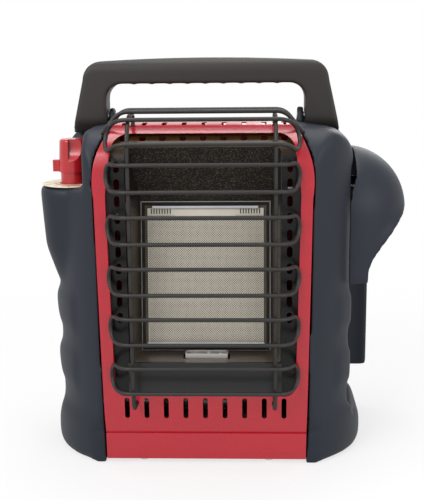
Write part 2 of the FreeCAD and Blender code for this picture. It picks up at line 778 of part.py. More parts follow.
def hood_profile():
    """Front view of the hood: a round top, a slanting rim and an upright edge under it."""
    x, z = HOOD_X, HOOD_CENTRE_Z
    diagonal = HOOD_RADIUS * math.sqrt(0.5)
    rise = HOOD_WIDEST_RISE
    widest = math.sqrt(HOOD_RADIUS ** 2 - rise ** 2)
    return outline("xz", (0, z + HOOD_RADIUS), [
        (x, z + HOOD_RADIUS),
        (x + diagonal, z + diagonal, x + widest, z + rise),
        (x + widest - 1, z + rise - 7, x + widest - 5, z + rise - 14),
        (HOOD_FOOT_X + 8, HOOD_FOOT_Z + 24),
        (HOOD_FOOT_X + 2, HOOD_FOOT_Z + 13, HOOD_FOOT_X, HOOD_FOOT_Z + 2),
        (HOOD_FOOT_X, HOOD_FOOT_Z - 4),
        (0, HOOD_FOOT_Z - 4)])


def hood_bulk(amount):
    """Dome over the regulator, with cheeks that follow the gas cylinder."""
    radius = HOOD_RADIUS - amount
    cheek = BAY_RADIUS + HOOD_WALL - amount
    low = HOOD_FOOT_Z - 40
    return fuse([
        Part.makeSphere(radius, V(HOOD_X, BAY_Y, HOOD_CENTRE_Z)),
        rod(radius, (HOOD_X, BAY_Y, low), (HOOD_X, BAY_Y, HOOD_CENTRE_Z)),
        Part.makeSphere(cheek, V(CYLINDER_X, BAY_Y, CHEEK_Z)),
        rod(cheek, (CYLINDER_X, BAY_Y, low), (CYLINDER_X, BAY_Y, CHEEK_Z))])


def hood_reach(amount):
    """Space left of the hood's outermost surface."""
    radius = HOOD_RADIUS - amount
    ball = rod(radius, (HOOD_X, -FAR, HOOD_CENTRE_Z), (HOOD_X, FAR, HOOD_CENTRE_Z))
    return ball.fuse(box((0, -FAR, 0), (HOOD_X + radius, FAR, HOOD_CENTRE_Z)))


def pillar(amount):
    """Upright moulding behind the cylinder."""
    wire = outline("xy", (100, BAY_Y + 6), [
        (PILLAR_X - 3, BAY_Y + 6), (PILLAR_X - 1, BAY_Y + 7, PILLAR_X, BAY_Y + 9),
        (PILLAR_X, PILLAR_REAR_Y - 16),
        (PILLAR_X - 5, PILLAR_REAR_Y - 5, PILLAR_X - 16, PILLAR_REAR_Y), (100, PILLAR_REAR_Y)])
    low = PILLAR_LOW_Z + amount
    return prism("xy", inset(wire, amount), low, HOOD_CENTRE_Z - 20 - amount)


def cylinder_hood():
    outer = hood_bulk(0).common(prism("xz", hood_profile(), -FAR, FAR)).fuse(pillar(0))
    hollow = hood_bulk(HOOD_WALL).common(hood_reach(HOOD_WALL)).fuse(pillar(HOOD_WALL))
    lining = bay(BAY_RADIUS + BAY_WALL, PILLAR_LOW_Z, HOOD_FOOT_Z).common(pillar(0))
    shell = outer.cut(hollow).fuse(lining)
    return shell.cut([bay(BAY_RADIUS, 0, CHEEK_Z), cover_form(-SEAT)])


# Carry handle

def handle_outline():
    mid_z = HANDLE_TOP - 20
    return outline("xz", (-HANDLE_HALF_LOW, HINGE_Z - FAR / 8), [
        (-HANDLE_HALF_LOW, HINGE_Z - 19),
        (-HANDLE_HALF_MIDDLE, mid_z),
        (-HANDLE_HALF_TOP - 5, HANDLE_TOP - 8, -HANDLE_HALF_TOP + 4, HANDLE_TOP - HANDLE_CROWN),
        (0, HANDLE_TOP, HANDLE_HALF_TOP - 4, HANDLE_TOP - HANDLE_CROWN),
        (HANDLE_HALF_TOP + 5, HANDLE_TOP - 8, HANDLE_HALF_MIDDLE, mid_z),
        (HANDLE_HALF_LOW, HINGE_Z - 19),
        (HANDLE_HALF_LOW, HINGE_Z - FAR / 8)])


def handle_inner_outline():
    low = HINGE_Z - FAR / 6
    return rounded("xz", [
        (-HANDLE_INNER_HALF, low, 0), (HANDLE_INNER_HALF, low, 0),
        (HANDLE_INNER_HALF, HANDLE_INNER_TOP, 15), (-HANDLE_INNER_HALF, HANDLE_INNER_TOP, 15)])


def handle_side_outline():
    half = HANDLE_DEPTH / 2
    return outline("yz", (PIVOT_Y - half, HINGE_Z), [
        (PIVOT_Y, HINGE_Z - half, PIVOT_Y + half, HINGE_Z),
        (PIVOT_Y + half - 1, HANDLE_TOP - 12),
        (PIVOT_Y + half - 5, HANDLE_TOP - 3, PIVOT_Y + half - 13, HANDLE_TOP),
        (PIVOT_Y - half + 13, HANDLE_TOP),
        (PIVOT_Y - half + 5, HANDLE_TOP - 3, PIVOT_Y - half + 1, HANDLE_TOP - 12)])


def carry_handle():
    frame = prism("xz", handle_outline(), -FAR, FAR).cut(prism("xz", handle_inner_outline(), -FAR, FAR))
    body = frame.common(prism("yz", handle_side_outline(), -FAR, FAR))
    nubs = []
    half = (NUB_COUNT - 1) / 2
    for index in range(NUB_COUNT):
        x = (index - half) * NUB_PITCH
        z = HANDLE_INNER_TOP + NUB_RADIUS - NUB_DROP
        nubs.append(rod(NUB_RADIUS, (x, PIVOT_Y - 10, z), (x, PIVOT_Y + 10, z)))
    bore = rod(HANDLE_PIN_RADIUS + RUNNING, (-HANDLE_PIN_END, PIVOT_Y, HINGE_Z), (HANDLE_PIN_END, PIVOT_Y, HINGE_Z))
    return body.fuse(nubs).cut(bore)


def handle_pins():
    pins = []
    for side in (-1, 1):
        start = side * (LUG_INNER + 0.3)
        end = side * (HANDLE_PIN_END - LOOSE)
        pins.append(rod(HANDLE_PIN_RADIUS, (start, PIVOT_Y, HINGE_Z), (end, PIVOT_Y, HINGE_Z)))
    return group(pins)


# Knob, dial and gas valve

def control_knob():
    x, y = KNOB_X, KNOB_Y
    collar = rod(KNOB_COLLAR_RADIUS, (x, y, KNOB_BOTTOM), (x, y, KNOB_SHOULDER_Z))
    body = taper(KNOB_RADIUS, KNOB_TOP_RADIUS, (x, y, KNOB_SHOULDER_Z), (x, y, KNOB_TOP_Z))
    body = body.makeFillet(2.5, [edge for edge in body.Edges if edge.BoundBox.ZMin > KNOB_TOP_Z - 0.1])
    pointer = box((x - POINTER_REACH, y - 3, KNOB_SHOULDER_Z), (x, y + 3, POINTER_TOP_Z))
    flats = []
    for side in (-1, 1):
        scoop_y = y + side * 28.5
        scoop_z = KNOB_SHOULDER_Z + 26
        flats.append(rod(22, (x - 2, scoop_y, scoop_z), (x + 38, scoop_y, scoop_z)))
    knob = fuse([collar, body, pointer]).cut(flats)
    socket = rod(SPRING_RADIUS + 0.6, (x, y, KNOB_BOTTOM), (x, y, KNOB_SOCKET_Z))
    grip = rod(STEM_RADIUS + TIGHT, (x, y, KNOB_BOTTOM), (x, y, KNOB_SOCKET_Z + 12))
    return knob.cut([socket, grip])


def valve_stem():
    x, y = KNOB_X, KNOB_Y
    return rod(STEM_RADIUS, (x, y, ROTOR_BOTTOM + 2), (x, y, KNOB_SOCKET_Z + 11.7))


def knob_spring():
    x, y = KNOB_X, KNOB_Y
    low = VALVE_CUP_Z + 0.5
    high = KNOB_SOCKET_Z - 0.2
    return rod(SPRING_RADIUS, (x, y, low), (x, y, high)).cut(rod(STEM_RADIUS + 0.6, (x, y, low), (x, y, high)))


def valve_rotor():
    x, y = KNOB_X, KNOB_Y
    sleeve = rod(ROTOR_RADIUS, (x, y, ROTOR_BOTTOM - 4), (x, y, VALVE_CUP_Z + 0.3))
    bore = rod(STEM_RADIUS + RUNNING, (x, y, ROTOR_BOTTOM + 1.5 - KNOB_TRAVEL), (x, y, FAR))
    return sleeve.cut(bore)


def valve_screw_places():
    return [(-KNOB_X + side * VALVE_SCREW_REACH, KNOB_Y) for side in (-1, 1)]


def valve_body():
    x, y = KNOB_X, KNOB_Y
    top = LEDGE_Z - COVER_WALL - SEAT
    body = rod(VALVE_RADIUS, (x, y, VALVE_BOTTOM), (x, y, top))
    flange = rod(VALVE_FLANGE_RADIUS, (x, y, top - VALVE_FLANGE), (x, y, top))
    port = rod(7.0, (x, y, SUPPLY_Z), (SUPPLY_END_X, y, SUPPLY_Z))
    foot = rod(7.0, (x, y, VALVE_BOTTOM - 8), (x, y, VALVE_BOTTOM))
    cup = rod(KNOB_COLLAR_RADIUS + 1.5, (x, y, VALVE_CUP_Z), (x, y, FAR))
    seat = rod(ROTOR_RADIUS + RUNNING, (x, y, ROTOR_BOTTOM - 4.3), (x, y, FAR))
    holes = [rod(SCREW_RADIUS + SEAT, (-sx, sy, top - 10), (-sx, sy, FAR)) for sx, sy in valve_screw_places()]
    return fuse([body, flange, port, foot]).cut([cup, seat] + holes)


def valve_screws():
    screws = []
    under = LEDGE_Z - COVER_WALL - SEAT - VALVE_FLANGE - SEAT
    for sx, sy in valve_screw_places():
        head = rod(SCREW_HEAD - 0.8, (-sx, sy, under - SCREW_HEAD_HEIGHT), (-sx, sy, under))
        shank = rod(SCREW_RADIUS - 0.05, (-sx, sy, under - 1), (-sx, sy, LEDGE_Z - 1.3))
        screws.append(head.fuse(shank))
    return group(screws)


def dial_plate():
    x, y = KNOB_X, KNOB_Y
    low = LEDGE_Z + 0.1
    ring = rod(DIAL_RADIUS, (x, y, low), (x, y, low + DIAL_THICK))
    hole = rod(KNOB_COLLAR_RADIUS + 1.2, (x, y, low), (x, y, low + DIAL_THICK))
    keep = prism("xy", rounded("xy", [
        (-FAR, -FAR, 0), (NOTCH_WALL_X - 1, -FAR, 0), (NOTCH_WALL_X - 1, NOTCH_REAR_Y - 1, 13),
        (-FAR, NOTCH_REAR_Y - 1, 0)]), 0, FAR)
    return ring.cut(hole).common(keep)


def piezo_igniter():
    x, y = PIEZO_X, PIEZO_Y
    body = rod(6.0, (x, y, PIEZO_BOTTOM + 6), (x, y, PIEZO_TOP))
    tip = taper(2.0, 3.0, (x, y, PIEZO_BOTTOM), (x, y, PIEZO_BOTTOM + 6))
    wall = casing_half(PIEZO_CLIP_Z + PIEZO_CLIP) + SEAT
    clip = box((x + 3, y - 5, PIEZO_CLIP_Z), (-wall, y + 5, PIEZO_CLIP_Z + PIEZO_CLIP))
    return fuse([body, tip, clip])


# Regulator and its swivel

def swivel_mount():
    wall = CYLINDER_X - BAY_RADIUS + SEAT
    ear = EYE_LENGTH / 2 + 0.3
    base = rod(16.0, (wall, BAY_Y, PIVOT_Z), (wall + 3.2, BAY_Y, PIVOT_Z))
    base = base.common(bay(BAY_RADIUS - SEAT, 0, FAR))
    ears = []
    for side in (-1, 1):
        inner, outer = sorted((side * ear, side * (ear + 4)))
        block = box((wall + 1.5, BAY_Y + inner, PIVOT_Z - EYE_RADIUS), (PIVOT_X, BAY_Y + outer, PIVOT_Z + EYE_RADIUS))
        tip = rod(EYE_RADIUS, (PIVOT_X, BAY_Y + inner, PIVOT_Z), (PIVOT_X, BAY_Y + outer, PIVOT_Z))
        ears += [block, tip]
    nipple = rod(SUPPLY_RADIUS, (SUPPLY_START_X + SEAT, BAY_Y, PIVOT_Z), (wall + 1, BAY_Y, PIVOT_Z))
    bore = rod(PIN_RADIUS + TIGHT, (PIVOT_X, BAY_Y - 20, PIVOT_Z), (PIVOT_X, BAY_Y + 20, PIVOT_Z))
    return fuse([base, nipple] + ears).cut(bore)


def swivel_pin():
    half = EYE_LENGTH / 2 + 4.3
    return rod(PIN_RADIUS, (PIVOT_X, BAY_Y - half, PIVOT_Z), (PIVOT_X, BAY_Y + half, PIVOT_Z))


def regulator_body():
    eye = rod(EYE_RADIUS, (PIVOT_X, BAY_Y - EYE_LENGTH / 2, PIVOT_Z), (PIVOT_X, BAY_Y + EYE_LENGTH / 2, PIVOT_Z))
    arm = rod(5.5, (PIVOT_X, BAY_Y, PIVOT_Z), (CYLINDER_X, BAY_Y, PIVOT_Z))
    body = rod(REGULATOR_RADIUS, (CYLINDER_X, BAY_Y, REGULATOR_BOTTOM), (CYLINDER_X, BAY_Y, REGULATOR_TOP))
    rim = [edge for edge in body.Edges if abs(edge.BoundBox.ZMin - edge.BoundBox.ZMax) < 0.01]
    body = body.makeFillet(2.0, rim)
    bore = rod(PIN_RADIUS + RUNNING, (PIVOT_X, BAY_Y - 20, PIVOT_Z), (PIVOT_X, BAY_Y + 20, PIVOT_Z))
    return fuse([body, arm, eye]).cut(bore)


def regulator_cap():
    x, y = CYLINDER_X, BAY_Y
    low = REGULATOR_TOP + SEAT / 2
    cap = taper(CAP_RADIUS + 1, CAP_RADIUS, (x, y, low), (x, y, CAP_TOP))
    return cap.cut(rod(1.2, (x, y, CAP_TOP - 4), (x, y, CAP_TOP + 1)))


def cylinder_inlet():
    """Brass collar with the female thread that takes a one pound cylinder."""
    x, y = CYLINDER_X, BAY_Y
    top = REGULATOR_BOTTOM - SEAT / 2
    collar = rod(INLET_RADIUS, (x, y, INLET_BOTTOM), (x, y, top))
    seat = INLET_BOTTOM + INLET_DEPTH
    hole = rod(INLET_MINOR_RADIUS, (x, y, INLET_BOTTOM), (x, y, seat))
    pocket = rod(SEAL_RADIUS + TIGHT, (x, y, seat), (x, y, seat + SEAL_THICK))
    flats = []
    for side in (-1, 1):
        middle = x + side * 17.6
        flats.append(box((middle - 4, y - 20, INLET_BOTTOM + 5), (middle + 4, y + 20, top)))
    return collar.cut([hole, pocket] + flats)


def inlet_seal():
    x, y = CYLINDER_X, BAY_Y
    low = INLET_BOTTOM + INLET_DEPTH + TIGHT
    high = low + SEAL_THICK - 2 * TIGHT
    return rod(SEAL_RADIUS, (x, y, low), (x, y, high)).cut(rod(SEAL_BORE, (x, y, low), (x, y, high)))


# Fire box behind the guard

def window_outline(margin):
    return rounded("xz", [
        (-WINDOW_HALF + margin, WINDOW_BOTTOM + margin, 2), (WINDOW_HALF - margin, WINDOW_BOTTOM + margin, 2),
        (WINDOW_HALF - margin, WINDOW_TOP - margin, 6), (-WINDOW_HALF + margin, WINDOW_TOP - margin, 6)])


def vent_places():
    return [VENT_TOP_Z - index * VENT_PITCH for index in range(VENT_COUNT)]


def heat_shield_frame():
    """Perforated black frame just behind the bezel's opening."""
    inner = FRAME_SET + SEAT
    skin = casing_form(inner).cut(casing_form(inner + FRAME_SHEET))
    ring = prism("xz", inset(opening_outline(), -FRAME_LAP), -FAR, -HALF_DEPTH / 2 - 8)
    frame = skin.common(ring)
    cuts = [prism("xz", window_outline(0), -FAR, 0)]
    for z in vent_places():
        for x in (-VENT_X, VENT_X):
            cuts.append(slot("xz", x, z, VENT_WIDTH, VENT_HEIGHT, -FAR, 0))
    top = (WINDOW_TOP + OPEN_TOP) / 2 + 1
    for x in slot_places():
        cuts.append(slot("xz", x, top, 3.4, 6.0, -FAR, 0, False))
    return frame.cut(cuts)


def tilted(shape):
    copy = shape.copy()
    copy.rotate(V(0, PLAQUE_Y, PLAQUE_Z), X_AXIS, -PLAQUE_TILT)
    return copy


def tilted_point(x, y, z):
    turn = FreeCAD.Rotation(X_AXIS, -PLAQUE_TILT)
    centre = V(0, PLAQUE_Y, PLAQUE_Z)
    return centre + turn.multVec(V(x, y, z) - centre)


def mouth_y(z):
    """Depth of the reflector's leaning mouth at a height."""
    return REFLECTOR_Y + REFLECTOR_LEAN * (z - WINDOW_BOTTOM) / (WINDOW_TOP - WINDOW_BOTTOM)


def reflector_surface(grow):
    half_back = PLAQUE_WIDTH / 2 + GASKET + REFLECTOR_MARGIN + grow
    high_back = PLAQUE_Z + PLAQUE_HEIGHT / 2 + GASKET + REFLECTOR_MARGIN + grow
    low_back = PLAQUE_Z - PLAQUE_HEIGHT / 2 - GASKET - REFLECTOR_MARGIN - grow
    back = [tilted_point(x, PLAQUE_Y, z) for x, z in (
        (-half_back, low_back), (half_back, low_back), (half_back, high_back), (-half_back, high_back))]
    half = WINDOW_HALF - SEAT + grow - FRAME_SHEET
    low = WINDOW_BOTTOM + SEAT - grow + FRAME_SHEET
    high = WINDOW_TOP - SEAT + grow - FRAME_SHEET
    front = [V(x, mouth_y(z), z) for x, z in ((-half, low), (half, low), (half, high), (-half, high))]
    wires = [Part.makePolygon(corners + corners[:1]) for corners in (front, back)]
    return Part.makeLoft(wires, True, True)


def reflector():
    shell = reflector_surface(FRAME_SHEET).cut(reflector_surface(0))
    hole = box((PILOT_X - 22, PILOT_Y - 7, WINDOW_BOTTOM - 10), (PILOT_X + 22, PILOT_Y + 8, WINDOW_BOTTOM + 12))
    return shell.cut(hole)


def lower_lip():
    """Black apron under the window, folded back along its top and kicked forward at its foot."""
    front = SEAT + FRAME_SET - HALF_DEPTH - 0.3
    back = front + FRAME_SHEET
    foot = OPEN_BOTTOM + 0.5
    side = outline("yz", (front, LIP_TOP), [
        (back, LIP_TOP), (back, LIP_BEND_Z), (back - LIP_KICK, foot), (front - LIP_KICK, foot), (front, LIP_BEND_Z)])
    fold_half = WINDOW_HALF - LIP_KICK
    fold = box((-fold_half, front, LIP_TOP - FRAME_SHEET), (fold_half, REFLECTOR_Y - 2 * SEAT, LIP_TOP))
    return prism("yz", side, -LIP_HALF, LIP_HALF).fuse(fold)


def ceramic_plaque():
    half = PLAQUE_WIDTH / 2
    tall = PLAQUE_HEIGHT / 2
    slab = box((-half, PLAQUE_Y, PLAQUE_Z - tall), (half, PLAQUE_Y + PLAQUE_THICK, PLAQUE_Z + tall))
    seam = box((-half, PLAQUE_Y, PLAQUE_Z - 0.6), (half, PLAQUE_Y + 1.2, PLAQUE_Z + 0.6))
    return tilted(slab.cut(seam))


def plaque_gasket():
    half = PLAQUE_WIDTH / 2 + 0.1
    tall = PLAQUE_HEIGHT / 2 + 0.1
    low = PLAQUE_Y - GASKET_PROUD
    high = PLAQUE_Y + PLAQUE_THICK
    outer = box((-half - GASKET, low, PLAQUE_Z - tall - GASKET), (half + GASKET, high, PLAQUE_Z + tall + GASKET))
    return tilted(outer.cut(box((-half, low, PLAQUE_Z - tall), (half, high, PLAQUE_Z + tall))))


def burner_housing():
    """Plenum tray behind the plaque, with the venturi's inlet in its floor."""
    half = PLAQUE_WIDTH / 2 + GASKET + 0.2
    tall = PLAQUE_HEIGHT / 2 + GASKET + 0.2
    front = PLAQUE_Y + 3
    back = PLAQUE_Y + HOUSING_DEPTH + PLAQUE_THICK
    outer = box((-half - 1, front, PLAQUE_Z - tall - 1), (half + 1, back, PLAQUE_Z + tall + 1))
    room = box((-half, front, PLAQUE_Z - tall), (half, back - 1, PLAQUE_Z + tall))
    ledge_low = PLAQUE_Y + PLAQUE_THICK + 0.1
    ledge = box((-half, ledge_low, PLAQUE_Z - tall), (half, ledge_low + 1, PLAQUE_Z + tall))
    ledge = ledge.cut(box((8 - half, ledge_low, PLAQUE_Z - tall + 8), (half - 8, ledge_low + 1, PLAQUE_Z + tall - 8)))
    pan = tilted(outer.cut(room).fuse(ledge))
    floor_z = tilted_point(0, VENTURI_Y, PLAQUE_Z - tall).z
    inlet = rod(VENTURI_RADIUS + SEAT, (VENTURI_X, VENTURI_Y, floor_z - 12), (VENTURI_X, VENTURI_Y, floor_z + 12))
    return pan.cut(inlet)


def burner_frame():
    """Bright stepped frame that holds the screen against the plaque."""
    half = PLAQUE_WIDTH / 2
    tall = PLAQUE_HEIGHT / 2
    high = PLAQUE_Y - 0.15
    low = high - FRAME_SHEET
    rim = box((-half, low, PLAQUE_Z - tall), (half, high, PLAQUE_Z + tall))
    hole = box((FRAME_SIDE_STRIP - half, low, PLAQUE_Z - tall + FRAME_SIDE_STRIP),
               (half - FRAME_SIDE_STRIP, high, PLAQUE_Z + tall - FRAME_TOP_STRIP))
    top = box((-half, low - 3.5, PLAQUE_Z + tall - 3), (half, low, PLAQUE_Z + tall))
    foot = box((-half + 2, low - 5.5, PLAQUE_Z - tall), (half - 2, low, PLAQUE_Z - tall + 1.2))
    nose = box((-half + 2, low - 5.5, PLAQUE_Z - tall), (half - 2, low - 4.7, PLAQUE_Z - tall + 5))
    return tilted(fuse([rim.cut(hole), top, foot, nose]))


def burner_screen():
    """Sheet with diamond openings in staggered rows."""
    half = PLAQUE_WIDTH / 2 - FRAME_SIDE_STRIP - 0.3
    low_z = PLAQUE_Z - PLAQUE_HEIGHT / 2 + FRAME_SIDE_STRIP + 0.3
    high_z = PLAQUE_Z + PLAQUE_HEIGHT / 2 - FRAME_TOP_STRIP - 0.3
    step_x = 2 * half / (SCREEN_COLUMNS + 0.5)
    step_z = (high_z - low_z) / (SCREEN_ROWS + 1)
    rim = [V(-half, 0, low_z), V(half, 0, low_z), V(half, 0, high_z), V(-half, 0, high_z), V(-half, 0, low_z)]
    wires = [Part.makePolygon(rim)]
    wide = (step_x - SCREEN_STRAND) / 2
    high = step_z - SCREEN_STRAND
    diamond = [(-wide, 0), (0, -high), (wide, 0), (0, high), (-wide, 0)]
    for row in range(SCREEN_ROWS):
        for column in range(SCREEN_COLUMNS):
            x = -half + step_x * (column + 0.5 + 0.5 * (row % 2))
            z = low_z + step_z * (row + 1)
            wires.append(Part.makePolygon([V(x + u, 0, z + v) for u, v in diamond]))
    plate = Part.makeFace(wires, "Part::FaceMakerBullseye").extrude(V(0, SCREEN_THICK, 0))
    plate.translate(V(0, PLAQUE_Y - SEAT - SCREEN_THICK, 0))
    return tilted(plate)


# Pilot

def pilot_bracket():
    z = WINDOW_BOTTOM - 4
    low = (PILOT_X - 20, PILOT_Y - 5.5)
    high = (PILOT_X + 20, PILOT_Y + 6.5)
    pan = box((low[0], low[1], z - 5), (high[0], high[1], z + 10))
    room = box((low[0] + 1, low[1] + 1, z - 4), (high[0] - 1, high[1] - 1, z + 11))
    holes = [rod(radius + SEAT, (x, PILOT_Y, z - 10), (x, PILOT_Y, z + 2)) for x, radius in pilot_stations()]
    return pan.cut([room] + holes)


def pilot_stations():
    return [(PILOT_X - 11, PILOT_PIPE_RADIUS + 1), (PILOT_X + 2, LEAD_RADIUS + 0.4),
            (PILOT_X + 13, LEAD_RADIUS + 1.2)]


def pilot_burner():
    x = PILOT_X - 11
    low = WINDOW_BOTTOM - 8.8
    stem = rod(PILOT_PIPE_RADIUS + 1, (x, PILOT_Y, low), (x, PILOT_Y, low + 11))
    hood = taper(4.2, 3.2, (x, PILOT_Y, low + 5), (x, PILOT_Y, low + 11))
    slot_cut = box((x - 1, PILOT_Y - 5, low + 8), (x + 5, PILOT_Y + 5, low + 9.5))
    return stem.fuse(hood).cut(slot_cut)


def thermocouple():
    x = PILOT_X + 2
    low = WINDOW_BOTTOM - 9
    stem = rod(LEAD_RADIUS + 0.4, (x, PILOT_Y, low), (x, PILOT_Y, low + 15))
    collar = rod(3.2, (x, PILOT_Y, low + 1.3), (x, PILOT_Y, low + 5))
    return stem.fuse(collar)


def igniter_electrode():
    x = PILOT_X + 13
    low = WINDOW_BOTTOM - 9
    insulator = rod(LEAD_RADIUS + 1.2, (x, PILOT_Y, low), (x, PILOT_Y, low + 8))
    wire = rod(0.8, (x, PILOT_Y, low + 7), (x, PILOT_Y, low + 14))
    return insulator.fuse(wire)


# Pipes and leads

def orifice_fitting():
    x = ORIFICE_X
    y, z = VENTURI_Y, BURNER_PIPE_Z
    nut = Part.makePolygon([V(x - 14, y + 7 * math.cos(math.radians(a)), z + 7 * math.sin(math.radians(a)))
                            for a in range(0, 361, 60)])
    body = Part.Face(nut).extrude(V(10, 0, 0))
    nose = taper(4.0, 2.2, (x - 4, y, z), (x + 3, y, z))
    return body.fuse(nose).cut(rod(0.5, (x - 4, y, z), (x + 4, y, z)))


def venturi_tube():
    start = ORIFICE_X
    wall = 1.0
    top = tilted_point(VENTURI_X, VENTURI_Y, PLAQUE_Z - PLAQUE_HEIGHT / 2 - GASKET).z + 4
    tube = pipe([(start, VENTURI_Y, BURNER_PIPE_Z), (VENTURI_X, VENTURI_Y, BURNER_PIPE_Z), (VENTURI_X, VENTURI_Y, top)],
                [20], VENTURI_RADIUS, VENTURI_RADIUS - wall)
    windows = [box((start + 6, VENTURI_Y - 20, BURNER_PIPE_Z - 2.5), (start + 20, VENTURI_Y + 20, BURNER_PIPE_Z + 2.5))]
    foot = box((VENTURI_X - 30, VENTURI_Y - 6, BASE_GAP + 2 * SHEET + 2 * SEAT),
               (VENTURI_X - 28.5, VENTURI_Y + 6, BURNER_PIPE_Z - VENTURI_RADIUS + 0.6))
    pad = box((VENTURI_X - 30, VENTURI_Y - 6, BASE_GAP + 2 * SHEET + 2 * SEAT),
              (VENTURI_X - 18, VENTURI_Y + 6, BASE_GAP + 2 * SHEET + 2 * SEAT + 1.5))
    return fuse([tube.cut(windows), foot, pad])


def supply_tube():
    end = SUPPLY_END_X + SEAT
    right = SUPPLY_START_X - 2 * PIPE_BEND
    left = end + 2 * PIPE_BEND - 1
    return pipe([(SUPPLY_START_X, BAY_Y, PIVOT_Z), (right, BAY_Y, PIVOT_Z), (right, SUPPLY_Y, SUPPLY_Z),
                 (left, SUPPLY_Y, SUPPLY_Z), (left, KNOB_Y, SUPPLY_Z), (end, KNOB_Y, SUPPLY_Z)],
                [PIPE_BEND] * 4, SUPPLY_RADIUS, SUPPLY_RADIUS - PIPE_WALL)


def burner_tube():
    low = BURNER_PIPE_Z
    return pipe([(KNOB_X, KNOB_Y, VALVE_BOTTOM - 8 - SEAT), (KNOB_X, KNOB_Y, low),
                 (ORIFICE_X - 14 - SEAT, VENTURI_Y, low)], [PIPE_BEND], SUPPLY_RADIUS, SUPPLY_RADIUS - PIPE_WALL)


def pilot_tube():
    start, end = pilot_run()
    return pipe([(start[0], start[1], VALVE_BOTTOM - SEAT), start, end, (end[0], PILOT_Y, PILOT_Z),
                 (end[0], PILOT_Y, WINDOW_BOTTOM - 9)], [PIPE_BEND, 8, 8], PILOT_PIPE_RADIUS)


def thermocouple_lead():
    start, end = thermocouple_run()
    return pipe([(start[0], start[1], VALVE_BOTTOM - SEAT), start, end, (end[0], PILOT_Y, end[2]),
                 (end[0], PILOT_Y, WINDOW_BOTTOM - 9.2)], [PIPE_BEND, 8, 8], LEAD_RADIUS)


def igniter_lead():
    start, end = igniter_run()
    return pipe([(start[0], start[1], PIEZO_BOTTOM - SEAT), start, end, (end[0], PILOT_Y, end[2]),
                 (end[0], PILOT_Y, WINDOW_BOTTOM - 9.2)], [PIPE_BEND, 8, 8], LEAD_RADIUS)


# Tip-over switch

def tip_switch_housing():
    low = (TIP_X - TIP_WIDTH / 2, TIP_Y - TIP_DEPTH / 2, TIP_FLOOR)
    high = (TIP_X + TIP_WIDTH / 2, TIP_Y + TIP_DEPTH / 2, TIP_FLOOR + TIP_HEIGHT)
    room = box((low[0] + 2, low[1], low[2] + 2), (high[0] - 2, high[1] - 2, high[2] - 2))
    bore = rod(1.5, (TIP_X, TIP_Y, TIP_PIVOT_Z), (TIP_X, high[1] - 1, TIP_PIVOT_Z))
    return box(low, high).cut([room, bore])


def tip_switch_cover():
    front = TIP_Y - TIP_DEPTH / 2 - SEAT / 2
    half = TIP_WIDTH / 2
    plate = box((TIP_X - half, front - 1.6, TIP_FLOOR), (TIP_X + half, front, TIP_FLOOR + TIP_HEIGHT))
    return plate.cut(rod(1.5, (TIP_X, front - 2, TIP_PIVOT_Z), (TIP_X, front + 1, TIP_PIVOT_Z)))


def tip_pendulum():
    hub = rod(4.0, (TIP_X, TIP_Y - 5, TIP_PIVOT_Z), (TIP_X, TIP_Y + 4, TIP_PIVOT_Z))
    arm = box((TIP_X - 1.2, TIP_Y - 3, TIP_PIVOT_Z - 16), (TIP_X + 1.2, TIP_Y + 2, TIP_PIVOT_Z))
    bob = rod(5.5, (TIP_X, TIP_Y - 6, TIP_PIVOT_Z - 19), (TIP_X, TIP_Y + 5, TIP_PIVOT_Z - 19))
    bore = rod(1.5 + RUNNING, (TIP_X, TIP_Y - 10, TIP_PIVOT_Z), (TIP_X, TIP_Y + 10, TIP_PIVOT_Z))
    return fuse([hub, arm, bob]).cut(bore)


def tip_switch_pin():
    front = TIP_Y - TIP_DEPTH / 2 - SEAT / 2
    return rod(1.5, (TIP_X, front - 1.2, TIP_PIVOT_Z), (TIP_X, TIP_Y + TIP_DEPTH / 2 - 1.2, TIP_PIVOT_Z))


# Wire guard

